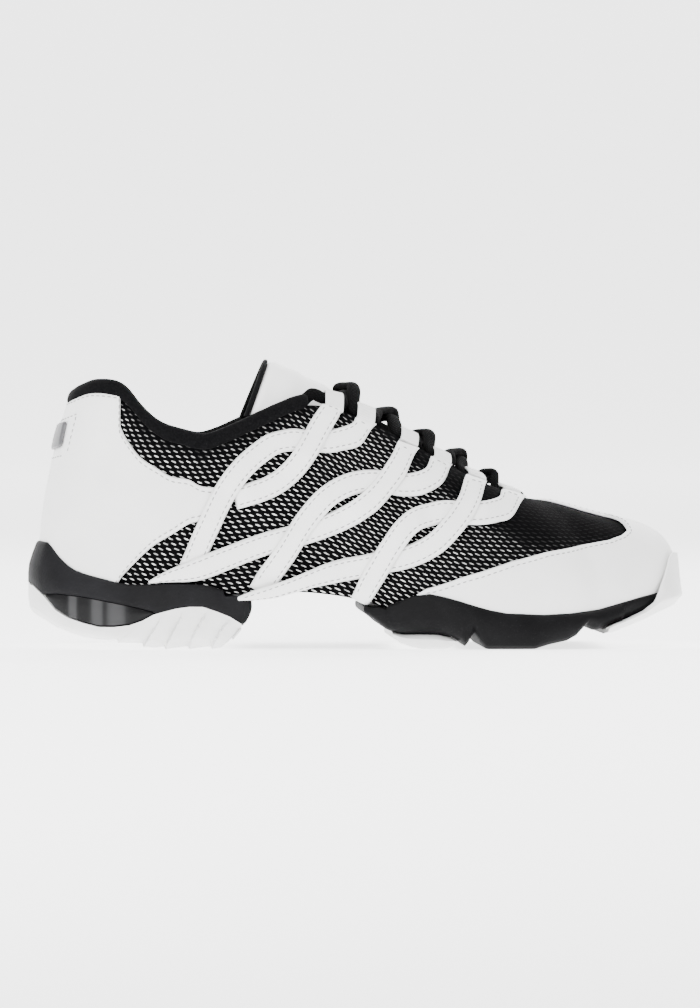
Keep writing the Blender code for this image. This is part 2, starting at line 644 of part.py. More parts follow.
def fore_low(around, side):
    base = foot(around, side)[0]
    return fore_height(contour(FORE_BOTTOM, units_of(base[0])))


def toe_low(around, side):
    base = foot(around, side)[0]
    return fore_height(contour(TOE_BOTTOM, units_of(base[0])))


def fore_midsole_points(around, side):
    base, outward = foot(around, side)
    units = units_of(base[0] + outward[0] * spread(around))
    rim = fore_height(contour(FORE_RIM, units))
    upright = np.array([0, 0, 1.0])
    centre = (foot(around, OUTER)[0] + foot(around, INNER)[0]) / 2
    low = fore_low(around, side)
    cupped = rim > base[2] + 0.0015
    edge = base + outward * CUP_GAP - upright * GAP
    if cupped:
        up_rim = up_at(around, rim, side)
        inner = [skin(around, up_rim * share, side, CUP_GAP) for share in (0.3, 0.65, 1.0)]
    else:
        rim = min(rim, edge[2])
        inner = [edge + outward * share * CUP_WALL for share in (0.3, 0.65, 1.0)]
        for point, share in zip((edge, *inner), (1.0, 0.7, 0.4, 0.0)):
            point[2] = rim - CUP_GAP * share
    inner_rim = inner[-1]
    inner_rim[2] = rim
    outer_rim = inner_rim + outward * CUP_WALL
    wide = spread(around)
    if around > 0.83:
        wide = min(wide, np.dot(outer_rim - base, outward) + 0.0004)

    def at(distance, height):
        point = base + outward * distance
        point[2] = height
        return point

    bulge = at(wide, low + (rim - low) * 0.55)
    knee = at(wide - 0.0012, low + (rim - low) * 0.22)
    low_edge = at(max(wide - 0.0050, GAP), low)
    return [np.array([base[0], centre[1], edge[2] - GAP]), edge, *inner, outer_rim, bulge, knee,
            low_edge, np.array([base[0], centre[1], low])]


def make_forefoot_midsole():
    rings = [across(fore_midsole_points(a, OUTER), fore_midsole_points(a, INNER)) for a in fore_stations()]
    return loft("forefoot_midsole", rings, "foam", ("last",))


def make_pod():
    """White pad let into the back of the forefoot sole."""
    rings = []
    for units in POD_UNITS:
        around = around_at(units)
        low = fore_height(contour(POD_BOTTOM, units))
        ends = POD_ROUNDING * abs(units - 392) / 32
        sides = []
        for side in (OUTER, INNER):
            base, outward = foot(around, side)
            high = fore_low(around, side) - GAP
            centre = (foot(around, OUTER)[0] + foot(around, INNER)[0]) / 2
            points = [np.array([base[0], centre[1], high])]
            for distance, height in ((0.0003 - ends, high), (0.0036 - ends, low + (high - low) * 0.7),
                                     (0.0020 - ends, low)):
                point = base + outward * distance
                points.append(np.array([base[0], point[1], height]))
            sides.append(points + [np.array([base[0], centre[1], low])])
        rings.append(across(sides[0], sides[1]))
    return loft("forefoot_pod", rings, "rubber")


def outward_at(around, height, side, lift):
    """How far beyond the feather line the lifted wall stands at a height."""
    base, outward = foot(around, side)
    low, high = 0.0, 0.75
    for repeat in range(24):
        middle = (low + high) / 2
        point = skin(around, middle, side, lift)
        low, high = (low, middle) if point[2] > height else (middle, high)
    return float(np.dot(point - base, outward))


def toe_points(around, side):
    base, outward = foot(around, side)
    centre = (foot(around, OUTER)[0] + foot(around, INNER)[0]) / 2
    low = toe_low(around, side)
    bed = fore_low(around, side) - GAP
    middle = fore_midsole_points(around, side)
    rim = middle[5][2]
    sole_out = float(np.dot(middle[6] - base, outward)) + GAP
    units = units_of(base[0] + outward[0] * (spread(around) + LIP_WALL))
    top = max(fore_height(contour(TOE_LIP, units)), bed + 0.001)
    covered = OVERLAY_GAP * 2 + OVERLAY + 0.0004

    def at(distance, height):
        point = base + outward * distance
        point[2] = height
        return point

    knee_up, bulge_up = middle[7][2], middle[6][2]
    side_up = [low, knee_up, bulge_up, rim]
    side_out = [float(np.dot(middle[k] - base, outward)) for k in (8, 7, 6, 5)]
    inner, outer = [], []
    for number, (mark, thick) in enumerate(((knee_up, 0.8), (bulge_up, 1.0), (rim + 0.001, 0.95), (top, 0.45))):
        height = min(mark, bed + (top - bed) * (number + 1) / 4) if mark < top else bed + (top - bed) * (number + 1) / 4
        distance = float(np.interp(height, side_up, side_out)) + SEAM * 1.8
        if height > rim - 0.001:
            over_cap = outward_at(around, height, side, covered)
            blend = min(max((height - rim) / 0.004, 0.0), 1.0)
            distance = max(over_cap, distance + (over_cap - distance) * blend)
        inner.append(at(distance, height))
        outer.append(at(distance + LIP_WALL * thick, height))
    low_edge = at(sole_out - 0.0045, low)
    knee = at(sole_out - 0.0005, low + (bed - low) * 0.6)
    return [np.array([base[0], centre[1], bed]), at(side_out[0] + GAP, bed), *inner, *outer[::-1], knee, low_edge,
            np.array([base[0], centre[1], low])]


def make_toe_bumper():
    stations = [float(around_at(units)) for units in (568, 576, 584)] + list(TOE_AROUND)
    rings = [across(toe_points(a, OUTER), toe_points(a, INNER)) for a in stations]
    return loft("toe_bumper", rings, "rubber", ("last",))


def make_insole():
    """Flat inner sole that lies on the turned-in margin of the wall."""
    rings = []
    for around in (*UPPER_AROUND[:-1:2], 1.0):
        sides = []
        for side in (OUTER, INNER):
            base, outward = foot(around, side)
            centre = (foot(around, OUTER)[0] + foot(around, INNER)[0]) / 2
            ahead = foot(min(1.0, around + 0.06), side)[0][2] if around > 0.8 else base[2]
            floor = max(base[2], ahead) + WALL + INSOLE_GAP
            low = base - outward * (WALL + 0.0022)
            high = base - outward * (WALL + 0.0012)
            low[2] = floor
            high[2] = floor + INSOLE
            middle = low.copy() if around in (0.0, 1.0) else np.array([low[0], centre[1], floor])
            over = high.copy() if around in (0.0, 1.0) else np.array([high[0], centre[1], floor + INSOLE])
            sides.append([middle, low, high, over])
        rings.append(across(sides[0], sides[1]))
    return loft("insole", rings, "black", ("first", "last"))


def strap_grid(rows, steps):
    """Places on the wall for a strap: its middle line widened on the wall, three across."""
    rows = np.array(rows)
    knots = np.concatenate([[0], np.cumsum(np.hypot(np.diff(rows[:, 0]), np.diff(rows[:, 1])))])
    at = np.linspace(0, knots[-1], steps)
    lines = [follow(knots, rows[:, k], slopes(knots, rows[:, k], False), at) for k in range(4)]
    run = np.stack([lines[0][1], lines[1][1]], -1)
    run = run / np.linalg.norm(run, axis=1, keepdims=True)
    half = STRAP_WIDTH / LENGTH * GRID_LENGTH / 2 * lines[2][0]
    grid = []
    for i in range(steps):
        row = []
        for share in (-1, 0, 1):
            x = lines[0][0][i] - run[i, 1] * half[i] * share
            z = lines[1][0][i] + run[i, 0] * half[i] * share
            row.append(on_side(x, z))
        grid.append(row)
    return np.array(grid), lines[3][0]


def make_straps():
    for name, rows in STRAPS.items():
        grid, level = strap_grid(rows, STRAP_STEPS)
        lift = OVERLAY_GAP + np.clip(level, 0, 2) * (OVERLAY + OVERLAY_GAP)
        lift = lift[:, None] * np.ones((1, 3))
        for side, word in ((OUTER, "lateral"), (INNER, "medial")):
            bottom = skin(grid[..., 0], grid[..., 1], side, lift)
            top = skin(grid[..., 0], grid[..., 1], side, lift + OVERLAY)
            slab(f"strap_{word}_{name}", bottom, top, "white")


def sheet(name, points, faces, finish, thickness, offset):
    """An open surface given its thickness by a Solidify modifier."""
    new = add(name, points, faces, finish)
    thick = new.modifiers.new("thickness", "SOLIDIFY")
    thick.thickness = thickness
    thick.offset = offset
    return new


def grid_faces(rows, columns, first=0, flip=False):
    faces = []
    for i in range(rows - 1):
        for j in range(columns - 1):
            a = first + i * columns + j
            face = (a, a + 1, a + columns + 1, a + columns)
            faces.append(face[::-1] if flip else face)
    return faces


def make_counter():
    """Heel counter: wraps the heel and runs forward as a wing on each side."""
    places = []
    for around, low_units, high_units in COUNTER_ROWS:
        low = float(up_at(around, heel_height(rim_at(around)) + SEAM, OUTER))
        if low_units:
            low = max(low, float(up_at(around, low_units / GRID_INSTEP * INSTEP_HEIGHT, OUTER)))
        high = COUNTER_TOP
        if high_units:
            high = float(up_at(around, high_units / GRID_INSTEP * INSTEP_HEIGHT, OUTER, 0.0, 1.0))
        places.append([(around, low + (high - low) * share) for share in np.linspace(0, 1, COUNTER_STEPS)])
    places = np.array(places)
    points, faces = [], []
    for side in (OUTER, INNER):
        surface = skin(places[..., 0], places[..., 1], side, OVERLAY_GAP).reshape(-1, 3)
        faces += grid_faces(len(places), COUNTER_STEPS, len(points), side == OUTER)
        points += list(surface)
    return sheet("heel_counter", points, faces, "white", OVERLAY, 1)


def rim_at(around):
    base, outward = foot(around, OUTER)
    return contour(HEEL_RIM, units_of(base[0] + outward[0] * spread(around)))


def fore_rim_at(around, side):
    base, outward = foot(around, side)
    return fore_height(contour(FORE_RIM, units_of(base[0] + outward[0] * spread(around))))


def make_toe_cap():
    """Toe cap: from the sole up to the front of the mesh panel, open in a V behind the tip."""
    edge = [on_side(along, up) for along, up in CAP_OUTER]
    outer_edge = [(float(a), float(u)) for a, u in edge if a < CAP_TIP - 0.01] + [(CAP_TIP, 1.0)]
    points, faces = [], []
    for side, line in ((OUTER, outer_edge), (INNER, CAP_INNER)):
        knots = [place[0] for place in line]
        stations = [knots[0]] + [a for a in UPPER_AROUND if a > knots[0] + 0.008]
        if side == INNER:
            stations = sorted(stations + list(CAP_BETWEEN))
        places = []
        for around in stations:
            low = float(up_at(around, fore_rim_at(around, side) + SEAM, side))
            top = max(float(np.interp(around, knots, [place[1] for place in line])), low + 0.03)
            top = 1.0 if around >= CAP_TIP - 0.006 else top
            places.append([(around, low + (top - low) * share) for share in np.linspace(0, 1, CAP_STEPS)])
        places = np.array(places)
        surface = skin(places[..., 0], places[..., 1], side, OVERLAY_GAP).reshape(-1, 3)
        faces += grid_faces(len(stations), CAP_STEPS, len(points), side == OUTER)
        points += list(surface)
    return sheet("toe_cap", points, faces, "white", OVERLAY, 1)


def top_frame(around, side):
    """Top edge of the wall with its outward, upward and forward directions."""
    edge = skin(around, 1.0, side)
    outward = skin(around, 1.0, side, 1.0) - edge
    climb = wall(around, 1.0, side) - wall(around, 0.985, side)
    climb = climb / np.linalg.norm(climb)
    forward = np.cross(climb, outward) * -side
    return edge, outward, climb, forward / np.linalg.norm(forward)


def make_collar():
    """Padded roll that sits on the top edge of the wall, from instep to instep around the heel."""
    section = ((0.0008, 0.0), (0.0014, 0.45), (0.0002, 0.9), (-0.0018, 1.05), (-0.0040, 0.85), (-0.0048, 0.35),
               (-0.0034, 0.0))
    rings = []
    stations = np.concatenate([np.linspace(COLLAR_FRONT, 0.24, 6), [0.21, 0.185, 0.165, 0.145, 0.125, 0.1, 0.07,
                                                                  0.035]])
    route = [(a, OUTER) for a in stations] + [(0.0, OUTER)] + [(a, INNER) for a in stations[::-1]]
    for around, side in route:
        edge, outward, climb = top_frame(around, side)[:3]
        rings.append([edge + outward * out + climb * (GAP + 0.0006 + COLLAR_ROLL * share) for out, share in section])
    return loft("collar", rings, "black")


def make_badge():
    """Bare grey patch on the back of the counter."""
    lift = OVERLAY_GAP * 2 + OVERLAY
    rows = []
    for up in np.linspace(BADGE_UP[0], BADGE_UP[1], 4):
        rows.append([(a, up) for a in np.linspace(-BADGE_AROUND, BADGE_AROUND, 7)])

    def place(row, lift):
        return [skin(abs(a), up, OUTER if a <= 0 else INNER, lift) for a, up in row]

    bottom = [place(row, lift) for row in rows]
    top = [place(row, lift + 0.0008) for row in rows]
    return slab("heel_badge", bottom, top, "grey")


def tongue_surface(rows_at, shares):
    rows = np.array(TONGUE_ROWS)
    knots = np.arange(len(rows), dtype=float)
    lines = [follow(knots, rows[:, k], slopes(knots, rows[:, k], False), rows_at)[0] for k in range(6)]
    surface = []
    for along, up, side_along, side_up, half, swing in zip(*lines):
        middle = np.array([grid_x(along), 0.0, up / GRID_INSTEP * INSTEP_HEIGHT])
        edge = np.array([grid_x(side_along), 0.0, side_up / GRID_INSTEP * INSTEP_HEIGHT])
        row = []
        for share in shares:
            point = middle + (edge - middle) * share**2
            point[1] = (half * share + swing) * BALL_WIDTH
            row.append(point)
        surface.append(row)
    return np.array(surface)


def make_tongue():
    """Padded tongue that comes up under the lace and stands above the collar."""
    surface = tongue_surface(np.linspace(0, len(TONGUE_ROWS) - 1, 12), np.linspace(-1, 1, 7))
    faces = grid_faces(12, 7, 0, True)
    return sheet("tongue", surface.reshape(-1, 3), faces, "white", TONGUE_WALL, -1)


def tube(name, middles, wides, width, thickness, sides, finish, runs=None):
    """Oval tube along a path; each station has the direction of its wide side."""
    middles, wides = np.asarray(middles), np.asarray(wides)
    if runs is None:
        runs = np.gradient(middles, axis=0)
    rings = []
    widths = np.broadcast_to(width, len(middles))
    for middle, run, wide, width in zip(middles, runs, wides, widths):
        run = run / np.linalg.norm(run)
        wide = wide - run * np.dot(wide, run)
        wide = wide / np.linalg.norm(wide)
        thin = np.cross(run, wide)
        angles = np.arange(sides) * 2 * np.pi / sides
        rings.append([middle + wide * np.cos(a) * width / 2 + thin * np.sin(a) * thickness / 2 for a in angles])
    return loft(name, rings, finish)


def make_tongue_binding():
    """Round binding along the top edge of the tongue."""
    shares = np.linspace(-1, 1, 13)
    rows = tongue_surface([0.0, 0.4], shares)
    back = rows[0] - rows[1]
    back = back / np.linalg.norm(back, axis=1, keepdims=True)
    middle = rows[0] + back * (BINDING / 2 + GAP * 1.5)
    middle = middle - np.array([0, 0, 1.0]) * TONGUE_WALL * 0.4
    return tube("tongue_binding", middle, back, BINDING, TONGUE_WALL, 6, "black")


def loop_frame(number, side):
    return top_frame(float(np.interp(LOOP_ALONG[number] / GRID_LENGTH, LAST["top_along"], LAST["around"])), side)


def make_loops():
    """Webbing loops on the throat edge, each a flat band bent round the lace."""
    for number in range(len(LOOP_ALONG)):
        for side, word in ((OUTER, "lateral"), (INNER, "medial")):
            edge, outward, climb, forward = loop_frame(number, side)
            start = edge + climb * LOOP_CLEAR
            rings = []
            for inset in (0.0, WEBBING_THICKNESS):
                for shift in (-WEBBING / 2, WEBBING / 2):
                    ring = []
                    for out, up in ((0.22, 0.0), (0.22, 0.55), (0.0, 0.92), (-0.4, 1.0), (-0.72, 0.8), (-0.78, 0.3),
                                    (-0.6, 0.0)):
                        middle_out, middle_up = -0.28, 0.5
                        scale_out = 1 - 2 * inset / LOOP_DEEP
                        scale_up = 1 - 2 * inset / LOOP_TALL
                        out = middle_out + (out - middle_out) * scale_out
                        up = middle_up + (up - middle_up) * scale_up
                        ring.append(start + outward * out * LOOP_DEEP + climb * up * LOOP_TALL + forward * shift)
                    rings.append(ring)
            order = [rings[0], rings[1], rings[3], rings[2]]
            loft(f"loop_{word}_{number + 1}", order, "white", closed=True)


def loop_middle(number, side):
    edge, outward, climb, forward = loop_frame(number, side)
    middle = edge + climb * (LOOP_CLEAR + LOOP_TALL * 0.5) - outward * LOOP_DEEP * 0.28
    return middle, forward, climb


def make_lace():
    """One lace: down through the loops from the outer side, across at the front and back up again."""
    count = len(LOOP_ALONG)
    down = [(k, OUTER if k % 2 == 0 else INNER) for k in range(count)]
    back = [(k, INNER if k % 2 == 0 else OUTER) for k in range(count - 1, -1, -1)]
    route = down + back
    past_loop = WEBBING / 2 + LACE_THICKNESS / 2
    middles, wides, runs, widths = [], [], [], []
    upright = np.array([0, 0, 1.0])
    for place, (number, side) in enumerate(route):
        middle, forward, climb = loop_middle(number, side)
        way = 1 if place < count else -1
        for turn in (-1, 0, 1):
            middles.append(middle + forward * way * turn * past_loop)
            wides.append(climb)
            runs.append(forward * way)
            widths.append(LACE_WIDTH * (LAST_PINCH if number == count - 1 and turn * way == -1 else 1))
        if place + 1 == len(route):
            break
        after, ahead = loop_middle(*route[place + 1])[:2]
        if place == count - 1:
            start = middles[-1] + forward * LACE_WIDTH * 0.4
            stop = after + ahead * (past_loop + LACE_WIDTH * 0.4)
            for share in (0.12, 0.35, 0.65, 0.88):
                middles.append(start + (stop - start) * share)
                wides.append(climb)
                runs.append(stop - start + (forward * (0.5 - share)) * LACE_WIDTH * 2)
                widths.append(LACE_WIDTH)
            continue
        crown = lace_crown(middle, after)
        if place >= count:
            crown = crown + LACE_THICKNESS + LACE_CLEAR
        across_way = np.cross(upright, after - middle)
        shares = (0.3, 0.5, 0.7)
        pinch = LAST_PINCH if place in (count - 2, count) else 1
        for share in shares:
            point = middle + (after - middle) * share
            point[2] = crown - (LACE_CLEAR if abs(share - 0.5) > 0.15 else 0.0)
            middles.append(point)
            wides.append(climb if pinch < 1 else across_way / np.linalg.norm(across_way))
            runs.append(after - middle)
            widths.append(LACE_WIDTH * pinch)
    return tube("lace", middles, wides, widths, LACE_THICKNESS, 6, "black", runs)


def lace_crown(start, end):
    """Height of a lace where it crosses the middle of the tongue."""
    x = (start[0] + end[0]) / 2
    middles = tongue_surface(np.linspace(0, len(TONGUE_ROWS) - 1, 60), [0.0])[:, 0]
    return float(np.interp(x, middles[:, 0], middles[:, 2])) + LACE_THICKNESS / 2 + 0.0022


for thing in list(bpy.data.objects):
    bpy.data.objects.remove(thing)
shoe = bpy.data.collections.new("dance_sneaker")
bpy.context.scene.collection.children.link(shoe)

make_upper()
make_insole()
make_heel_midsole()
make_heel_outsole()
make_window(OUTER)
make_window(INNER)
make_forefoot_midsole()
make_pod()
make_toe_bumper()
make_counter()
make_toe_cap()
make_badge()
make_straps()
make_collar()
make_tongue()
make_tongue_binding()
make_loops()
make_lace()
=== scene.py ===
"""Dance sneaker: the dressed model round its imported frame, with camera and lights."""

import math

import bpy
import numpy as np
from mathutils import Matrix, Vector


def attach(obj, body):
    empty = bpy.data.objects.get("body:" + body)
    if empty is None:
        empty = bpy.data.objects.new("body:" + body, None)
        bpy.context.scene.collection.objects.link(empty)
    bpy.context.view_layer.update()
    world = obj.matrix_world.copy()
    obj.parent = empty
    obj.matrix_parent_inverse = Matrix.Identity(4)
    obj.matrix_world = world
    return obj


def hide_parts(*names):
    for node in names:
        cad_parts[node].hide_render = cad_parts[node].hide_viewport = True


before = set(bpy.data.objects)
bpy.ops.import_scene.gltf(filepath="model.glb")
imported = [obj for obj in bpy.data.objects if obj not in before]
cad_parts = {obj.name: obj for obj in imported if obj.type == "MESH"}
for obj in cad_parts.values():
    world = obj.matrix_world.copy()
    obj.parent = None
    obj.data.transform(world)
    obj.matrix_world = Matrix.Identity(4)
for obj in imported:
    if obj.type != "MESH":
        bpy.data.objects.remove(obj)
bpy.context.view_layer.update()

# Driving sizes
LENGTH = 0.270
BALL_WIDTH = 0.094
COLLAR_HEIGHT = 0.1095
INSTEP_HEIGHT = 0.102
HEEL_STACK = 0.022
BALL_STACK = 0.012
WALL = 0.0025
GAP = 0.0003
OVERLAY_GAP = 0.0006
CUP_GAP = 0.0008
OVERLAY = 0.0012
CUP_WALL = 0.0020
LIP_WALL = 0.0026
BED = 0.0034
INSOLE = 0.0040
INSOLE_GAP = 0.0009
COLLAR_ROLL = 0.0046
TONGUE_WALL = 0.0030
LACE_WIDTH = 0.0042
LACE_THICKNESS = 0.0022
LACE_CLEAR = 0.0008
LAST_PINCH = 0.58
WEBBING = 0.0070
WEBBING_THICKNESS = 0.0011
BINDING = 0.0022
SEAM = 0.0006

# The side pattern is drawn on a grid: units from the heel end, units above the floor
GRID_LENGTH = 655.0
GRID_INSTEP = 248.0
GRID_HEEL = 53.4
GRID_BALL = 29.1

OUTER = -1
INNER = 1

# The last, from the middle of the heel (around 0) to the middle of the toe (around 1), a row for each
# section.
# Lengths are shares of LENGTH, breadths of BALL_WIDTH, lows of HEEL_STACK,
# tops of COLLAR_HEIGHT plus INSTEP_HEIGHT.
LAST_COLUMNS = ("around", "along", "swing", "half", "low",
                "top_along", "top_half", "top_collar", "top_instep", "flare", "rise", "out", "down")
LAST_ROWS = (
    (0.000, 0.044, 0.000, 0.000, 1.000, 0.066, 0.000, 0.918, 0.000, 0.133, 0.100, 0.068, 0.220),
    (0.040, 0.054, 0.000, 0.122, 1.000, 0.074, 0.122, 0.932, 0.000, 0.117, 0.100, 0.062, 0.220),
    (0.080, 0.081, -0.003, 0.221, 1.000, 0.102, 0.206, 0.958, 0.000, 0.096, 0.100, 0.050, 0.220),
    (0.130, 0.130, -0.008, 0.285, 0.995, 0.142, 0.262, 0.945, 0.000, 0.080, 0.100, 0.035, 0.220),
    (0.165, 0.169, -0.010, 0.301, 0.985, 0.172, 0.296, 0.850, 0.000, 0.075, 0.100, 0.030, 0.200),
    (0.200, 0.207, -0.011, 0.309, 0.980, 0.207, 0.318, 0.785, 0.000, 0.074, 0.100, 0.025, 0.180),
    (0.240, 0.252, -0.013, 0.306, 0.975, 0.248, 0.330, 0.758, 0.000, 0.074, 0.100, 0.022, 0.170),
    (0.280, 0.296, -0.016, 0.300, 1.000, 0.286, 0.332, 0.600, 0.180, 0.074, 0.100, 0.022, 0.170),
    (0.360, 0.385, -0.024, 0.283, 1.060, 0.360, 0.305, 0.300, 0.590, 0.080, 0.110, 0.030, 0.180),
    (0.440, 0.474, -0.029, 0.290, 0.970, 0.426, 0.250, 0.000, 0.975, 0.080, 0.110, 0.085, 0.170),
    (0.520, 0.563, -0.027, 0.335, 0.705, 0.500, 0.210, 0.000, 0.925, 0.070, 0.120, 0.125, 0.130),
    (0.600, 0.652, -0.018, 0.402, 0.570, 0.589, 0.185, 0.000, 0.805, 0.062, 0.120, 0.150, 0.090),
    (0.680, 0.741, -0.003, 0.434, 0.525, 0.674, 0.165, 0.000, 0.685, 0.055, 0.120, 0.170, 0.060),
    (0.760, 0.826, 0.023, 0.412, 0.545, 0.752, 0.115, 0.000, 0.603, 0.050, 0.150, 0.190, 0.032),
    (0.800, 0.866, 0.037, 0.372, 0.590, 0.786, 0.000, 0.000, 0.588, 0.050, 0.160, 0.230, 0.030),
    (0.840, 0.900, 0.048, 0.325, 0.640, 0.814, 0.000, 0.000, 0.567, 0.052, 0.165, 0.235, 0.030),
    (0.890, 0.943, 0.060, 0.231, 0.800, 0.853, 0.000, 0.000, 0.535, 0.056, 0.165, 0.235, 0.034),
    (0.945, 0.967, 0.060, 0.120, 0.900, 0.882, 0.000, 0.000, 0.515, 0.060, 0.160, 0.240, 0.036),
    (1.000, 0.974, 0.058, 0.000, 0.945, 0.900, 0.000, 0.000, 0.504, 0.062, 0.155, 0.245, 0.040),
)

# Side contours of the two sole units on the pattern grid: units along, units up
HEEL_RIM = ((0, 106), (9, 105), (19, 93), (29, 84), (39, 78), (52, 74), (84, 66.5), (99, 64), (146, 65.3),
            (168, 64.6), (181, 62.3), (190, 59.2), (202, 55), (211, 50.3), (222, 48.5))
HEEL_LIP = ((0, 63), (4, 61.5), (13.8, 52.4), (26, 38), (38, 31), (53, 26), (68.5, 22.2), (84, 22.2),
            (99, 24),
            (112, 28.5), (123, 34.5), (132, 37), (146, 40.5), (159, 42.2), (172, 42), (186, 37.3),
            (199, 32), (211, 24.4), (222, 22))
WINDOW_TOP = ((13.8, 53), (26, 54), (38, 53), (53, 51.3), (68.5, 48.6), (84, 45.6), (99, 42.5), (112, 39.5),
              (124, 36.3))
HEEL_BOTTOM = ((0, 40), (5, 36), (12, 30), (18, 25.5), (29, 20), (42, 15.5), (53, 12), (65, 10), (76, 8),
               (88, 6.6), (99, 5), (112, 3), (124, 0), (190, 0), (199, 6), (206, 13), (212, 19))
FORE_RIM = ((328, 43), (338, 41.5), (351, 42.5), (362, 46), (370, 49), (381, 53), (399, 55), (413, 52),
            (427, 48), (442, 43), (456, 39), (472, 36), (510, 34.3), (538, 35.5), (568, 39), (592, 45),
            (617, 51), (633, 54), (655, 58))
FORE_BOTTOM = ((328, 38.5), (333, 35), (341, 29.5), (350, 22), (356.5, 18), (370, 15), (404, 15), (418, 12),
               (427, 7), (431, 3), (434, 6), (439.7, 16.6), (443, 12), (446, 6), (452, 0), (500, 0),
               (515, 4.5),
               (532, 8), (541, 13), (545, 18), (549, 23.5), (553.5, 21), (558, 18), (566, 18.5), (575, 23),
               (593, 29), (614, 37), (634, 42.5), (655, 45))
POD_BOTTOM = ((360, 11), (367, 6), (378, 2), (388, 0), (421, 0), (424.5, 2))
TOE_LIP = ((568, 17), (580, 22.3), (593, 26.4), (603, 30.5), (617, 36.6), (627, 45), (634, 56), (640, 66),
           (646, 78), (651, 88), (655, 93))
TOE_BOTTOM = ((566, 14.5), (575, 15.5), (593, 20), (614, 27.4), (634, 36), (640, 38))

# The straps on the side pattern, a row for each station from the loop down: units along, units up.
# level is how many straps lie beneath; each strap is STRAP_WIDTH wide but for its last rows.
STRAP_WIDTH = 0.0092
STRAPS = {
    "1a": ((300, 240, 1, 0.6), (296, 232, 0.95, 1), (288, 220, 1, 1), (281, 207, 1, 1), (273, 193, 1, 1),
           (264, 181, 1, 0.4), (250, 168, 1, 0), (236, 160, 1, 0), (222, 155, 1, 0), (203, 149.5, 1, 0)),
    "1b": ((334.5, 226, 1, 0), (332, 219, 1, 0), (325, 213, 1, 0), (313, 208.5, 1, 0), (302, 206.5, 1, 0),
           (290, 205.5, 1, 0),
           (274, 206, 1, 0), (262, 207, 1, 0), (248, 206, 1, 0), (235, 199, 1, 0.3), (222, 190, 1, 1),
           (208, 176, 1, 1), (197, 161, 1, 1), (188, 145, 1, 1), (181, 130, 1, 1), (175, 117, 1, 0.9),
           (170, 106, 1, 0), (164, 91, 1, 0), (159, 80, 1, 0)),
    "2a": ((376, 200, 1, 0.5), (371, 189, 0.95, 1), (362, 177, 1, 1), (353, 162, 1, 1), (346, 154, 1, 1),
           (338, 146.5, 1, 1), (329, 139.5, 1, 0.9), (318, 133, 1, 0.1), (300, 124.5, 1, 0),
           (280, 117.5, 1, 0),
           (262, 112, 1, 0), (240, 106.5, 1, 0), (214, 98, 1, 0.4), (195, 91, 1, 1), (170, 81.5, 1, 1),
           (152, 76.5, 0.74, 1), (138, 73.6, 0.5, 1), (126, 70.4, 0.26, 0.8), (119, 67.5, 0.1, 0.6)),
    "2b": ((410, 187, 1, 0), (407.5, 179, 1, 0), (401, 170.5, 1, 0), (390, 164.5, 1, 0), (376, 162, 1, 0),
           (360, 163.5, 1, 0),
           (346, 166, 1, 0), (332, 166, 1, 0), (318, 163, 1, 0), (305, 157.5, 1, 0.7), (294, 150, 1, 1),
           (278, 133, 1, 1), (265.5, 115, 1, 1), (255, 98, 1, 1), (248, 88, 1, 1), (242, 80, 1, 0.4),
           (233, 67, 1, 0), (227, 58, 0.9, 0)),
    "3a": ((444, 166, 1, 0.5), (440, 156, 0.95, 1), (433, 142, 1, 1), (424, 127, 1, 1), (415, 117, 1, 1),
           (405, 107, 1, 0.7), (392, 98.5, 1, 0), (371, 90.5, 1, 0), (352, 87, 1, 0), (330, 82, 1, 0),
           (307, 78, 1, 0),
           (290, 74, 0.85, 0.8), (276, 70.5, 0.7, 1.4), (254, 64.5, 0.55, 1.8), (236, 60.5, 0.48, 2),
           (220, 57, 0.42, 2), (209, 55.5, 0.3, 2), (203, 55, 0.08, 2)),
    "3b": ((481, 153, 1, 0), (478.5, 145.5, 1, 0), (472, 139.5, 1, 0), (462, 136, 1, 0), (449, 133.5, 1, 0),
           (433, 134, 1, 0),
           (418, 135, 1, 0), (405, 134.5, 1, 0), (393, 132, 1, 0), (383, 128, 1, 0.8), (373, 120.5, 1, 1),
           (359, 102, 1, 1), (348, 84, 1, 1), (341.5, 73, 1, 1), (336, 63, 0.95, 1), (328, 49, 0.85, 0.6)),
}

# Heel counter on each side, a row for each upright: around, lower edge and upper edge in pattern units
# (none: the
# sole's rim, or the collar)
COUNTER_ROWS = ((0.0, None, None), (0.02, None, None), (0.04, None, None), (0.06, None, None),
                (0.08, None, None),
                (0.10, None, None), (0.12, None, None), (0.138, None, 252), (0.142, 73, 204),
                (0.158, 86, 188),
                (0.186, 104, 175), (0.215, 117, 165), (0.247, 127, 160), (0.280, 137, 159))
# Top edge of the toe cap on the outer side: units along, units up; and on the inner side: around, up the wall
CAP_OUTER = ((392, 60), (408, 64.5), (427, 71.2), (446, 76.5), (478, 87), (512, 95), (545, 100), (578, 105),
             (591, 109), (598, 114))
CAP_INNER = ((0.66, 0.22), (0.70, 0.42), (0.74, 0.70), (0.775, 0.90), (0.81, 0.955), (0.86, 0.965),
             (0.92, 0.97), (0.945, 1.0))
CAP_TIP = 0.945

# The tongue: middle of each section, its sides (on the pattern) and half its breadth (share of BALL_WIDTH)
TONGUE_ROWS = ((240, 285.5, 219, 231, 0.235, -0.022), (256, 279, 233, 226, 0.238, -0.024),
               (276, 270, 254, 219, 0.236, -0.026), (300, 257, 284, 211, 0.225, -0.028),
               (326, 240, 316, 200, 0.210, -0.029), (354, 222, 348, 187, 0.190, -0.026),
               (388, 202, 384, 171, 0.170, -0.018), (424, 181, 421, 156, 0.148, -0.009),
               (460, 159, 457, 140, 0.118, 0.003), (494, 138, 492, 127, 0.088, 0.020),
               (520, 126, 518, 119, 0.070, 0.032))

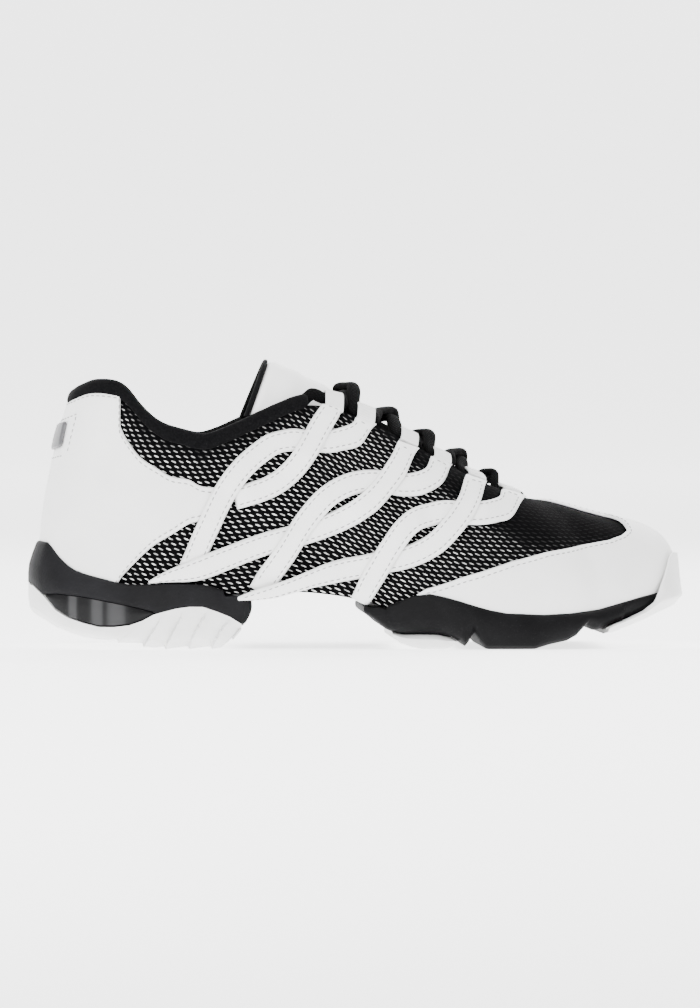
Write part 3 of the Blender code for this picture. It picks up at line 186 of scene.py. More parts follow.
STRAP_STEPS = 16
LOOP_ALONG = (303, 334, 377, 410, 445, 480)
LOOP_TALL = 0.0074
LOOP_DEEP = 0.0052
LOOP_CLEAR = 0.0011
BADGE_UP = (0.752, 0.873)
COLLAR_FRONT = 0.43

def slopes(knots, values, flat_ends):
    """Slopes of a smooth curve through the values that never runs past a high or low point."""
    steps = np.diff(values) / np.diff(knots)
    result = np.zeros(len(values))
    for i in range(1, len(values) - 1):
        left, right = steps[i - 1], steps[i]
        if left * right > 0:
            middle = (values[i + 1] - values[i - 1]) / (knots[i + 1] - knots[i - 1])
            limit = 3 * min(abs(left), abs(right))
            result[i] = np.sign(middle) * min(abs(middle), limit)
    if not flat_ends:
        result[0] = steps[0] * 1.5 - result[1] * 0.5
        result[-1] = steps[-1] * 1.5 - result[-2] * 0.5
    return result


def follow(knots, values, slope, at):
    """Value and slope of the smooth curve."""
    at = np.clip(np.asarray(at, float), knots[0], knots[-1])
    i = np.clip(np.searchsorted(knots, at, side="right") - 1, 0, len(knots) - 2)
    span = knots[i + 1] - knots[i]
    s = (at - knots[i]) / span
    a, b = values[i], values[i + 1]
    m, n = slope[i] * span, slope[i + 1] * span
    value = (2 * s**3 - 3 * s**2 + 1) * a + (s**3 - 2 * s**2 + s) * m
    value = value + (3 * s**2 - 2 * s**3) * b + (s**3 - s**2) * n
    change = (6 * s**2 - 6 * s) * (a - b) + (3 * s**2 - 4 * s + 1) * m + (3 * s**2 - 2 * s) * n
    return value, change / span


LAST = {}
for number, name in enumerate(LAST_COLUMNS):
    column = np.array([row[number] for row in LAST_ROWS])
    LAST[name] = column
LAST_SLOPES = {name: slopes(LAST["around"], LAST[name], name not in ("half", "top_half"))
               for name in LAST_COLUMNS[1:]}


def last(name, around):
    return follow(LAST["around"], LAST[name], LAST_SLOPES[name], around)


def contour(points, at):
    """Height of a side contour, straight between its points."""
    along = [p[0] for p in points]
    up = [p[1] for p in points]
    return np.interp(at, along, up)


def grid_x(units):
    return (np.asarray(units, float) / GRID_LENGTH - 0.5) * LENGTH


def units_of(x):
    return (np.asarray(x, float) / LENGTH + 0.5) * GRID_LENGTH


def around_at(units):
    """Place around the last whose feather line has this distance from the heel end."""
    return np.interp(np.asarray(units, float) / GRID_LENGTH, LAST["along"], LAST["around"])


def foot(around, side):
    """Feather line: where the wall meets the sole, and its outward direction."""
    around = np.asarray(around, float)
    along, along_slope = last("along", around)
    swing, swing_slope = last("swing", around)
    half, half_slope = last("half", around)
    low = last("low", around)[0]
    base = np.stack([(along - 0.5) * LENGTH, (swing + side * half) * BALL_WIDTH, low * HEEL_STACK], -1)
    run = np.stack([along_slope * LENGTH, (swing_slope + side * half_slope) * BALL_WIDTH], -1)
    run = run / np.linalg.norm(run, axis=-1, keepdims=True)
    outward = np.stack([-side * run[..., 1], side * run[..., 0], np.zeros_like(along)], -1)
    return base, outward


def wall(around, up, side):
    """Outside of the upper: around the last, and up from the feather line (0) to the top edge (1)."""
    around, up = np.broadcast_arrays(np.asarray(around, float), np.asarray(up, float))
    base, outward = foot(around, side)
    get = {name: last(name, around)[0] for name in LAST_COLUMNS[5:]}
    swing = last("swing", around)[0]
    height = get["top_collar"] * COLLAR_HEIGHT + get["top_instep"] * INSTEP_HEIGHT
    top = np.stack([(get["top_along"] - 0.5) * LENGTH,
                    (swing + side * get["top_half"]) * BALL_WIDTH, height], -1)
    upright = np.array([0.0, 0.0, 1.0])
    lower = base + outward * (get["flare"] * BALL_WIDTH)[..., None]
    lower = lower + upright * (get["rise"] * INSTEP_HEIGHT)[..., None]
    upper = top + outward * (get["out"] * BALL_WIDTH)[..., None]
    upper = upper - upright * (get["down"] * INSTEP_HEIGHT)[..., None]
    s = up[..., None]
    return (1 - s)**3 * base + 3 * (1 - s)**2 * s * lower + 3 * (1 - s) * s**2 * upper + s**3 * top


def square_to(around, up, side):
    """Direction square to the wall, outward."""
    step = 0.002
    u = np.clip(around, step, 1 - step)
    t = np.clip(up, step, 1 - 4 * step)
    run = wall(u + step, t, side) - wall(u - step, t, side)
    climb = wall(u, t + step, side) - wall(u, t - step, side)
    square = -side * np.cross(run, climb)
    return square / np.linalg.norm(square, axis=-1, keepdims=True)


def skin(around, up, side, lift=0.0):
    """A point on the wall, lifted square to it; where both sides meet, it is lifted straight."""
    around, up = np.broadcast_arrays(np.asarray(around, float), np.asarray(up, float))
    middle = (around <= 0) | (around >= 1)
    middle = middle | ((up >= 1) & (last("top_half", around)[0] < 1e-6))
    square = square_to(around, up, side)
    straight = square + square_to(around, up, -side)
    straight[..., 1] = 0.0
    straight = straight / np.linalg.norm(straight, axis=-1, keepdims=True)
    square = np.where(middle[..., None], straight, square)
    return wall(around, up, side) + square * np.asarray(lift, float)[..., None]


def up_at(around, height, side, start=0.0, stop=0.75):
    """How far up the wall a height is."""
    around = np.asarray(around, float)
    low = np.full(around.shape, start)
    high = np.full(around.shape, stop)
    for repeat in range(30):
        middle = (low + high) / 2
        above = wall(around, middle, side)[..., 2] > height
        high = np.where(above, middle, high)
        low = np.where(above, low, middle)
    return (low + high) / 2


CHART_AROUND = np.linspace(0, 1, 101)
CHART_UP = np.linspace(0, 1, 41)
CHART = wall(CHART_AROUND[:, None], CHART_UP[None, :], OUTER)


def on_side(units, up_units):
    """Place on the wall that lies at a point of the side pattern."""
    x = grid_x(units)
    z = up_units / GRID_INSTEP * INSTEP_HEIGHT
    distance = (CHART[..., 0] - x)**2 + (CHART[..., 2] - z)**2
    i, j = np.unravel_index(np.argmin(distance), distance.shape)
    place = np.array([CHART_AROUND[i], CHART_UP[j]])
    step = 1e-4
    for repeat in range(25):
        place = np.clip(place, (0.001, 0.0), (0.999, 1.0))
        here = wall(place[0], place[1], OUTER)[[0, 2]]
        run = (wall(min(place[0] + step, 1), place[1], OUTER)[[0, 2]] - here) / step
        climb = (here - wall(place[0], max(place[1] - step, 0), OUTER)[[0, 2]]) / step
        if place[1] <= step:
            climb = (wall(place[0], place[1] + step, OUTER)[[0, 2]] - here) / step
        matrix = np.stack([run, climb], -1)
        try_move = np.linalg.lstsq(matrix, np.array([x, z]) - here, rcond=1e-3)[0]
        place = place + np.clip(try_move, -0.05, 0.05)
    return np.clip(place, (0.001, 0.0), (0.999, 1.0))

# Sections of the sole and frames on the throat edge
MARGIN = 0.009
ARCH_BACK = 0.335
ARCH_FRONT = 0.470
SPREAD = ((0, 0.1265), (0.04, 0.120), (0.08, 0.100), (0.13, 0.080), (0.20, 0.064), (0.30, 0.058),
          (0.40, 0.054),
          (0.52, 0.056), (0.60, 0.058), (0.76, 0.060), (0.84, 0.060), (0.90, 0.060), (1.0, 0.060))
HEEL_FRONT = 221.0
HEEL_FRONT_LOW = 213.0
HEEL_BACK = (0.0, 0.015, 0.030, 0.050, 0.064, 0.080, 0.099)
WINDOW_BACK = 3
WINDOW_CLEAR = 0.0007
HEEL_SIDES = (82, 96, 110, 123, 133)
POD_UNITS = (360, 370, 382, 399, 413, 424)
POD_ROUNDING = 0.003


def spread(around):
    """How far the sole's side stands out beyond the feather line."""
    return contour(SPREAD, around) * BALL_WIDTH


def heel_height(units):
    return units / GRID_HEEL * HEEL_STACK


def fore_height(units):
    return units / GRID_BALL * BALL_STACK


def heel_midsole_points(around, side):
    base, outward = foot(around, side)
    wide = spread(around)
    units = units_of(base[0] + outward[0] * wide)
    rim = heel_height(contour(HEEL_RIM, units))
    floor = base[2] - GAP
    cupped = rim > base[2] + 0.002
    up_rim = up_at(around, rim if cupped else base[2] + 0.0005, side)
    lift = CUP_GAP
    upright = np.array([0, 0, 1.0])
    edge = base + outward * CUP_GAP - upright * GAP
    if cupped:
        inner = [skin(around, up_rim * share, side, lift) for share in (0.3, 0.65, 1.0)]
    else:
        rim = min(rim, floor)
        inner = [edge + outward * share * CUP_WALL for share in (0.3, 0.65, 1.0)]
        for point, share in zip((edge, *inner), (1.0, 0.7, 0.4, 0.0)):
            point[2] = rim - CUP_GAP * share
    inner_rim = inner[-1]
    outer_rim = inner_rim + outward * CUP_WALL
    outer_rim[2] = rim
    inner_rim[2] = rim
    lip = heel_height(contour(HEEL_LIP, units)) + GAP
    step = lip
    if WINDOW_TOP[0][0] <= units <= WINDOW_TOP[-1][0]:
        step = max(lip, heel_height(contour(WINDOW_TOP, units)) + GAP)
    step = min(step, rim - 0.003)
    bulge = base + outward * wide
    bulge[2] = step + (rim - step) * 0.45
    out_low = base + outward * wide
    out_low[2] = step
    recess = LIP_WALL + SEAM * 1.2
    in_step = base + outward * (wide - recess)
    in_step[2] = step
    bed = heel_bed(around, side, lip - GAP) + GAP * 2
    in_low = base + outward * (wide - recess - 0.0034)
    in_low[2] = bed
    centre = (foot(around, OUTER)[0] + foot(around, INNER)[0]) / 2
    floor_z = edge[2]
    top_centre = np.array([base[0], centre[1], floor_z])
    low_centre = np.array([base[0], centre[1], in_low[2]])
    return [top_centre, edge, *inner, outer_rim, bulge, out_low, in_step, in_low, low_centre]


def heel_low(around, side):
    base, outward = foot(around, side)
    tuck = 0.0045 + 0.005 * max(0.0, 1 - around / 0.1)
    edge = base + outward * (spread(around) - tuck)
    return edge, heel_height(contour(HEEL_BOTTOM, units_of(edge[0])))


def heel_bed(around, side, lip):
    """Height of the floor inside the heel outsole."""
    low = heel_low(around, side)[1]
    return min(low + BED, lip - 0.0015)


def heel_outsole_points(around, side, groove=0.0):
    base, outward = foot(around, side)
    wide = spread(around)
    units = units_of(base[0] + outward[0] * wide)
    lip = heel_height(contour(HEEL_LIP, units))
    edge, low = heel_low(around, side)
    bed = heel_bed(around, side, lip)
    centre = (foot(around, OUTER)[0] + foot(around, INNER)[0]) / 2

    def at(distance, height):
        point = base + outward * distance
        point[2] = height
        return point

    low_edge = np.array([edge[0], edge[1], low + groove * 0.5])
    knee = at(wide - 0.0012 - groove, low + (lip - low) * 0.28)
    side_mid = at(wide - groove * 0.6, low + (lip - low) * 0.62)
    lip_out = at(wide - 0.0002, lip)
    lip_in = at(wide - LIP_WALL, lip)
    bed_edge = at(wide - LIP_WALL - 0.002, bed)
    bed_centre = np.array([base[0], centre[1], bed])
    low_centre = np.array([base[0], centre[1], low + groove])
    return [bed_centre, bed_edge, lip_in, lip_out, side_mid, knee, low_edge, low_centre]


def fore_low(around, side):
    base = foot(around, side)[0]
    return fore_height(contour(FORE_BOTTOM, units_of(base[0])))


def toe_low(around, side):
    base = foot(around, side)[0]
    return fore_height(contour(TOE_BOTTOM, units_of(base[0])))


def fore_midsole_points(around, side):
    base, outward = foot(around, side)
    units = units_of(base[0] + outward[0] * spread(around))
    rim = fore_height(contour(FORE_RIM, units))
    upright = np.array([0, 0, 1.0])
    centre = (foot(around, OUTER)[0] + foot(around, INNER)[0]) / 2
    low = fore_low(around, side)
    cupped = rim > base[2] + 0.0015
    edge = base + outward * CUP_GAP - upright * GAP
    if cupped:
        up_rim = up_at(around, rim, side)
        inner = [skin(around, up_rim * share, side, CUP_GAP) for share in (0.3, 0.65, 1.0)]
    else:
        rim = min(rim, edge[2])
        inner = [edge + outward * share * CUP_WALL for share in (0.3, 0.65, 1.0)]
        for point, share in zip((edge, *inner), (1.0, 0.7, 0.4, 0.0)):
            point[2] = rim - CUP_GAP * share
    inner_rim = inner[-1]
    inner_rim[2] = rim
    outer_rim = inner_rim + outward * CUP_WALL
    wide = spread(around)
    if around > 0.83:
        wide = min(wide, np.dot(outer_rim - base, outward) + 0.0004)

    def at(distance, height):
        point = base + outward * distance
        point[2] = height
        return point

    bulge = at(wide, low + (rim - low) * 0.55)
    knee = at(wide - 0.0012, low + (rim - low) * 0.22)
    low_edge = at(max(wide - 0.0050, GAP), low)
    return [np.array([base[0], centre[1], edge[2] - GAP]), edge, *inner, outer_rim, bulge, knee,
            low_edge, np.array([base[0], centre[1], low])]


def outward_at(around, height, side, lift):
    """How far beyond the feather line the lifted wall stands at a height."""
    base, outward = foot(around, side)
    low, high = 0.0, 0.75
    for repeat in range(24):
        middle = (low + high) / 2
        point = skin(around, middle, side, lift)
        low, high = (low, middle) if point[2] > height else (middle, high)
    return float(np.dot(point - base, outward))


def toe_points(around, side):
    base, outward = foot(around, side)
    centre = (foot(around, OUTER)[0] + foot(around, INNER)[0]) / 2
    low = toe_low(around, side)
    bed = fore_low(around, side) - GAP
    middle = fore_midsole_points(around, side)
    rim = middle[5][2]
    sole_out = float(np.dot(middle[6] - base, outward)) + GAP
    units = units_of(base[0] + outward[0] * (spread(around) + LIP_WALL))
    top = max(fore_height(contour(TOE_LIP, units)), bed + 0.001)
    covered = OVERLAY_GAP * 2 + OVERLAY + 0.0004

    def at(distance, height):
        point = base + outward * distance
        point[2] = height
        return point

    knee_up, bulge_up = middle[7][2], middle[6][2]
    side_up = [low, knee_up, bulge_up, rim]
    side_out = [float(np.dot(middle[k] - base, outward)) for k in (8, 7, 6, 5)]
    inner, outer = [], []
    for number, (mark,
                 thick) in enumerate(((knee_up, 0.8), (bulge_up, 1.0), (rim + 0.001, 0.95), (top, 0.45))):
        height = min(mark, bed + (top - bed) * (number + 1)
                     / 4) if mark < top else bed + (top - bed) * (number + 1) / 4
        distance = float(np.interp(height, side_up, side_out)) + SEAM * 1.8
        if height > rim - 0.001:
            over_cap = outward_at(around, height, side, covered)
            blend = min(max((height - rim) / 0.004, 0.0), 1.0)
            distance = max(over_cap, distance + (over_cap - distance) * blend)
        inner.append(at(distance, height))
        outer.append(at(distance + LIP_WALL * thick, height))
    low_edge = at(sole_out - 0.0045, low)
    knee = at(sole_out - 0.0005, low + (bed - low) * 0.6)
    return [np.array([base[0], centre[1], bed]), at(side_out[0] + GAP, bed), *inner, *outer[::-1], knee,
            low_edge,
            np.array([base[0], centre[1], low])]


def rim_at(around):
    base, outward = foot(around, OUTER)
    return contour(HEEL_RIM, units_of(base[0] + outward[0] * spread(around)))


def fore_rim_at(around, side):
    base, outward = foot(around, side)
    return fore_height(contour(FORE_RIM, units_of(base[0] + outward[0] * spread(around))))


def top_frame(around, side):
    """Top edge of the wall with its outward, upward and forward directions."""
    edge = skin(around, 1.0, side)
    outward = skin(around, 1.0, side, 1.0) - edge
    climb = wall(around, 1.0, side) - wall(around, 0.985, side)
    climb = climb / np.linalg.norm(climb)
    forward = np.cross(climb, outward) * -side
    return edge, outward, climb, forward / np.linalg.norm(forward)


def tongue_surface(rows_at, shares):
    rows = np.array(TONGUE_ROWS)
    knots = np.arange(len(rows), dtype=float)
    lines = [follow(knots, rows[:, k], slopes(knots, rows[:, k], False), rows_at)[0] for k in range(6)]
    surface = []
    for along, up, side_along, side_up, half, swing in zip(*lines):
        middle = np.array([grid_x(along), 0.0, up / GRID_INSTEP * INSTEP_HEIGHT])
        edge = np.array([grid_x(side_along), 0.0, side_up / GRID_INSTEP * INSTEP_HEIGHT])
        row = []
        for share in shares:
            point = middle + (edge - middle) * share**2
            point[1] = (half * share + swing) * BALL_WIDTH
            row.append(point)
        surface.append(row)
    return np.array(surface)


def loop_frame(number, side):
    return top_frame(float(np.interp(LOOP_ALONG[number] / GRID_LENGTH, LAST["top_along"], LAST["around"])),
                     side)


def loop_middle(number, side):
    edge, outward, climb, forward = loop_frame(number, side)
    middle = edge + climb * (LOOP_CLEAR + LOOP_TALL * 0.5) - outward * LOOP_DEEP * 0.28
    return middle, forward, climb


def lace_crown(start, end):
    """Height of a lace where it crosses the middle of the tongue."""
    x = (start[0] + end[0]) / 2
    middles = tongue_surface(np.linspace(0, len(TONGUE_ROWS) - 1, 60), [0.0])[:, 0]
    return float(np.interp(x, middles[:, 0], middles[:, 2])) + LACE_THICKNESS / 2 + 0.0022


# Making meshes
def lay(name, points, faces, finishes, choose=None, pattern=None, shade=None, sharp=0.75):
    """One piece from points and faces, with doubled points merged; pattern places and a shade come per
    point."""
    points = np.asarray(points, float)
    keys = np.round(points * 1e6).astype(np.int64)
    unused, first, index = np.unique(keys, axis=0, return_index=True, return_inverse=True)
    index = index.reshape(-1)
    clean, source = [], []
    for number, face in enumerate(faces):
        loop = [(index[i], i) for i in face]
        loop = [pair for k, pair in enumerate(loop) if pair[0] != loop[k - 1][0]]
        if len({pair[0] for pair in loop}) >= 3:
            clean.append([int(pair[0]) for pair in loop])
            source.append((number, [pair[1] for pair in loop]))
    mesh = bpy.data.meshes.new(name)
    mesh.from_pydata([tuple(p) for p in points[first]], [], clean)
    mesh.shade_smooth()
    mesh.set_sharp_from_angle(angle=sharp)
    for finish in finishes:
        mesh.materials.append(finish)
    if choose is not None:
        mesh.polygons.foreach_set("material_index", [int(choose[number]) for number, loop in source])
    if pattern is not None:
        pattern = np.asarray(pattern, float)
        layer = mesh.uv_layers.new(name="pattern")
        layer.data.foreach_set("uv", np.concatenate([pattern[loop] for number, loop in source]).ravel())
    if shade is not None:
        values = mesh.attributes.new("shade", "FLOAT", "POINT")
        values.data.foreach_set("value", np.asarray(shade, float)[first])
    thing = bpy.data.objects.new(name, mesh)
    bpy.context.scene.collection.objects.link(thing)
    return thing


def face_out(thing):
    """Turns the faces of a closed piece outward."""
    mesh = thing.data
    count = len(mesh.vertices)
    places = np.empty(count * 3)
    mesh.vertices.foreach_get("co", places)
    places = places.reshape(-1, 3)
    mesh.calc_loop_triangles()
    corners = np.empty(len(mesh.loop_triangles) * 3, int)
    mesh.loop_triangles.foreach_get("vertices", corners)
    a, b, c = places[corners.reshape(-1, 3)].transpose(1, 0, 2)
    if np.einsum("ij,ij->i", a, np.cross(b, c)).sum() < 0:
        mesh.flip_normals()
    return thing


def grid_faces(rows, columns, first=0, wrap=False):
    faces = []
    for i in range(rows - 1):
        for j in range(columns if wrap else columns - 1):
            a, b = first + i * columns + j, first + i * columns + (j + 1) % columns
            faces.append((a, b, b + columns, a + columns))
    return faces


def loft(name, rings, finishes, closed=False, pattern=None, shade=None, sharp=0.75):
    """Closed piece through rings of points; each end is filled by strips from side to side."""
    rings = np.asarray(rings, float)
    count, around = rings.shape[:2]
    faces = grid_faces(count, around, 0, True)
    if closed:
        last_ring = (count - 1) * around
        faces += [(last_ring + j, last_ring + (j + 1) % around, (j + 1) % around, j) for j in range(around)]
    else:
        for start in (0, (count - 1) * around):
            flip = start == 0
            for j in range(around // 2):
                face = [start + j, start + j + 1, start + (around - j - 1) % around,
                        start + (around - j) % around]
                faces.append(face[::-1] if flip else face)
    return face_out(lay(name, rings.reshape(-1, 3), faces, finishes, None, pattern, shade, sharp))


def slab_faces(rows, columns, first=0):
    """Faces of a closed slab: a bottom grid, then a top grid of the same size."""
    total = rows * columns
    faces = [face[::-1] for face in grid_faces(rows, columns, first)] + grid_faces(rows, columns,
                                                                                   first + total)
    border = [(0, j) for j in range(columns)] + [(i, columns - 1) for i in range(1, rows)]
    border += [(rows - 1, j) for j in range(columns - 2, -1, -1)] + [(i, 0) for i in range(rows - 2, 0, -1)]
    for k, (i, j) in enumerate(border):
        m, n = border[(k + 1) % len(border)]
        a, b = first + i * columns + j, first + m * columns + n
        faces.append((a, b, total + b, total + a))
    return faces


def soften(points, radius):
    """Rounds the corners of a section; one radius for all, or one for each."""
    points = [np.asarray(p, float) for p in points]
    result = [points[0]]
    radii = np.broadcast_to(radius, len(points) - 2)
    for before, corner, after, radius in zip(points, points[1:], points[2:], radii):
        back, ahead = before - corner, after - corner
        near = corner + back * min(0.45, radius / max(np.linalg.norm(back), 1e-9))
        far = corner + ahead * min(0.45, radius / max(np.linalg.norm(ahead), 1e-9))
        result += [near, (near + corner * 2 + far) / 4, far]
    return result + [points[-1]]


def across(outer_points, inner_points):
    """A ring over both sides; the first and last points of each side lie on the middle and are shared."""
    first = (outer_points[0] + inner_points[0]) / 2
    final = (outer_points[-1] + inner_points[-1]) / 2
    return [first, *outer_points[1:-1], final, *inner_points[-2:0:-1]]


def through(values, at):
    """Smooth line through rows of values, read at positions counted in rows."""
    values = np.asarray(values, float)
    knots = np.arange(len(values), dtype=float)
    flat = values.reshape(len(values), -1)
    columns = [follow(knots, flat[:, k], slopes(knots, flat[:, k], False), at)[0]
               for k in range(flat.shape[1])]
    return np.stack(columns, -1).reshape(len(at), *values.shape[1:])


def rounded_line(points, each, closed=False):
    """Catmull-Rom curve through points, with a number of steps between each two."""
    points = np.asarray(points, float)
    count = len(points)
    if closed:
        order = np.arange(-1, count + 2) % count
    else:
        order = np.clip(np.arange(-1, count + 1), 0, count - 1)
    result = []
    for k in range(count if closed else count - 1):
        a, b, c, d = points[order[k:k + 4]]
        for s in np.arange(each) / each:
            result.append(b + 0.5 * s * (c - a + s * (2 * a - 5 * b + 4 * c - d + s * (3 * (b - c) + d - a))))
    if not closed:
        result.append(points[-1])
    return np.array(result)


STITCH = 0.0017
STITCH_STEP = 0.0026
THREAD = 0.00042


def stitches(path, normals, finish_number, points, faces, choose):
    """Adds a row of sewn stitches along a path to a piece's lists."""
    path, normals = np.asarray(path, float), np.asarray(normals, float)
    length = np.concatenate([[0], np.cumsum(np.linalg.norm(np.diff(path, axis=0), axis=1))])

    def at(place):
        point = np.array([np.interp(place, length, path[:, k]) for k in range(3)])
        normal = np.array([np.interp(place, length, normals[:, k]) for k in range(3)])
        return point, normal / np.linalg.norm(normal)

    for start in np.arange(STITCH_STEP / 2, length[-1] - STITCH, STITCH_STEP):
        first = len(points)
        begin, end = at(start)[0], at(start + STITCH)[0]
        run = (end - begin) / max(np.linalg.norm(end - begin), 1e-9)
        for share, thick, rise in ((0, 0.25, -0.5), (0.12, 0.85, 0.15), (0.5, 1, 0.4), (0.88, 0.85, 0.15),
                                   (1, 0.25, -0.5)):
            point, normal = at(start + STITCH * share)
            wide = np.cross(normal, run)
            for turn in range(6):
                angle = math.tau * turn / 6
                offset = wide * math.cos(angle) + normal * math.sin(angle) * 0.8
                points.append(point + normal * rise * THREAD + offset * thick * THREAD / 2)
        made = grid_faces(5, 6, first, True)
        made += [tuple(range(first, first + 6))[::-1], tuple(range(first + 24, first + 30))]
        faces += made
        choose += [finish_number] * len(made)


def settle(thing, slot, *nodes):
    """The piece rides on the shoe and stands for its solids, which it hides; the slot is not used."""
    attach(thing, "root")
    if nodes:
        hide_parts(*nodes)
    return thing


# Materials
def linear(code):
    """Linear colour of an sRGB hex value."""
    channels = [int(code[k:k + 2], 16) / 255 for k in (1, 3, 5)]
    return (*[c / 12.92 if c <= 0.04045 else ((c + 0.055) / 1.055)**2.4 for c in channels], 1.0)


def add_node(tree, kind, settings=None, links=None):
    """Adds a node with its settings, the stops of a colour ramp among them, and joins its inputs."""
    new = tree.nodes.new(kind)
    for key, value in (settings or {}).items():
        if key == "stops":
            bar = new.color_ramp
            while len(bar.elements) < len(value):
                bar.elements.new(0.5)
            for element, (place, code) in zip(bar.elements, value):
                element.position = place
                element.color = linear(code)
        elif isinstance(key, str) and hasattr(new, key):
            setattr(new, key, value)
        else:
            new.inputs[key].default_value = value
    for key, source in (links or {}).items():
        tree.links.new(source, new.inputs[key])
    return new


def new_finish(name, settings):
    finish = bpy.data.materials.new(name)
    finish.use_nodes = True
    tree = finish.node_tree
    shader = tree.nodes["Principled BSDF"]
    for key, value in settings.items():
        shader.inputs[key].default_value = value
    return finish, tree, shader


def knitted_mesh():
    """Polyester warp-knit mesh: slim slanted holes 3.2 by 2.1 mm apart show a pale backing between black
    yarns."""
    finish, tree, shader = new_finish("polyester_knitted_mesh",
                                      {"Roughness": 0.85, "Specular IOR Level": 0.03})
    hole_along, hole_up = 0.0032, 0.0021
    place = add_node(tree, "ShaderNodeUVMap", {"uv_map": "pattern"})
    parts = add_node(tree, "ShaderNodeSeparateXYZ", {}, {0: place.outputs[0]})
    down = add_node(tree, "ShaderNodeMath", {"operation": "DIVIDE", 1: hole_up}, {0: parts.outputs[1]})
    row = add_node(tree, "ShaderNodeMath", {"operation": "FLOOR"}, {0: down.outputs[0]})
    shift = add_node(tree, "ShaderNodeMath", {"operation": "MULTIPLY", 1: 0.37}, {0: row.outputs[0]})
    along = add_node(tree, "ShaderNodeMath", {"operation": "DIVIDE", 1: hole_along}, {0: parts.outputs[0]})
    moved = add_node(tree, "ShaderNodeMath", {"operation": "ADD"}, {0: along.outputs[0], 1: shift.outputs[0]})
    cell_x = add_node(tree, "ShaderNodeMath", {"operation": "FRACT"}, {0: moved.outputs[0]})
    cell_y = add_node(tree, "ShaderNodeMath", {"operation": "FRACT"}, {0: down.outputs[0]})
    cell = add_node(tree, "ShaderNodeCombineXYZ", {}, {0: cell_x.outputs[0], 1: cell_y.outputs[0]})
    centred = add_node(tree, "ShaderNodeVectorMath", {"operation": "SUBTRACT", 1: (0.5, 0.5, 0)},
                       {0: cell.outputs[0]})
    sized = add_node(tree, "ShaderNodeVectorMath",
                     {"operation": "MULTIPLY", 1: (hole_along * 1000, hole_up * 1000, 0)},
                     {0: centred.outputs[0]})
    turned = add_node(tree, "ShaderNodeVectorRotate", {"rotation_type": "Z_AXIS", "Angle": 0.38},
                      {0: sized.outputs[0]})
    squeezed = add_node(tree, "ShaderNodeVectorMath", {"operation": "MULTIPLY", 1: (1 / 1.22, 1 / 0.33, 0)},
                        {0: turned.outputs[0]})
    far = add_node(tree, "ShaderNodeVectorMath", {"operation": "LENGTH"}, {0: squeezed.outputs[0]})
    hole = add_node(tree, "ShaderNodeMapRange",
                    {"interpolation_type": "SMOOTHSTEP", "From Min": 1.12, "From Max": 0.72},
                    {0: far.outputs["Value"]})
    shade = add_node(tree, "ShaderNodeAttribute", {"attribute_name": "shade"})
    where = add_node(tree, "ShaderNodeTexCoord")
    patchy = add_node(tree, "ShaderNodeTexNoise", {"Scale": 420.0, "Detail": 1.0},
                      {"Vector": where.outputs["Object"]})
    uneven = add_node(tree, "ShaderNodeMapRange",
                      {"From Min": 0.35, "From Max": 0.62, "To Min": 0.6, "To Max": 1.0},
                      {0: patchy.outputs[0]})
    seen = add_node(tree, "ShaderNodeMath", {"operation": "MULTIPLY"},
                    {0: hole.outputs[0], 1: shade.outputs["Fac"]})
    seen = add_node(tree, "ShaderNodeMath", {"operation": "MULTIPLY"},
                    {0: seen.outputs[0], 1: uneven.outputs[0]})
    colour = add_node(tree, "ShaderNodeValToRGB",
                      {"stops": ((0.0, "#050506"), (0.35, "#303030"), (0.75, "#BDBDBC"), (1.0, "#F0F0EE"))},
                      {"Fac": seen.outputs[0]})
    tree.links.new(colour.outputs["Color"], shader.inputs["Base Color"])
    yarn = add_node(tree, "ShaderNodeTexWave", {"Scale": 900.0, "Distortion": 1.5},
                    {"Vector": place.outputs[0]})
    depth = add_node(tree, "ShaderNodeMath", {"operation": "MULTIPLY_ADD", 1: -1.0},
                     {0: hole.outputs[0], 2: yarn.outputs[1]})
    relief = add_node(tree, "ShaderNodeBump", {"Strength": 0.55, "Distance": 0.0004},
                      {"Height": depth.outputs[0]})
    tree.links.new(relief.outputs["Normal"], shader.inputs["Normal"])
    return finish


def synthetic_leather():
    """Polyurethane-coated leather, embossed with a fine pebble grain 0.67 mm across: soft satin white."""
    finish, tree, shader = new_finish("coated_synthetic_leather", {"Roughness": 0.42, "Coat Weight": 0.08,
                                                                   "Coat Roughness": 0.35})
    where = add_node(tree, "ShaderNodeTexCoord")
    cloudy = add_node(tree, "ShaderNodeTexNoise", {"Scale": 38.0, "Detail": 4.0},
                      {"Vector": where.outputs["Object"]})
    colour = add_node(tree, "ShaderNodeValToRGB", {"stops": ((0.3, "#EDEDEC"), (0.7, "#F5F5F4"))},
                      {"Fac": cloudy.outputs[0]})
    tree.links.new(colour.outputs["Color"], shader.inputs["Base Color"])
    pebbles = add_node(tree, "ShaderNodeTexVoronoi", {"Scale": 1500.0}, {"Vector": where.outputs["Object"]})
    pores = add_node(tree, "ShaderNodeTexNoise", {"Scale": 2600.0, "Detail": 2.0},
                     {"Vector": where.outputs["Object"]})
    grain = add_node(tree, "ShaderNodeMath", {"operation": "ADD"},
                     {0: pebbles.outputs[0], 1: pores.outputs[0]})
    relief = add_node(tree, "ShaderNodeBump", {"Strength": 0.16, "Distance": 0.0003},
                      {"Height": grain.outputs[0]})
    tree.links.new(relief.outputs["Normal"], shader.inputs["Normal"])
    return finish


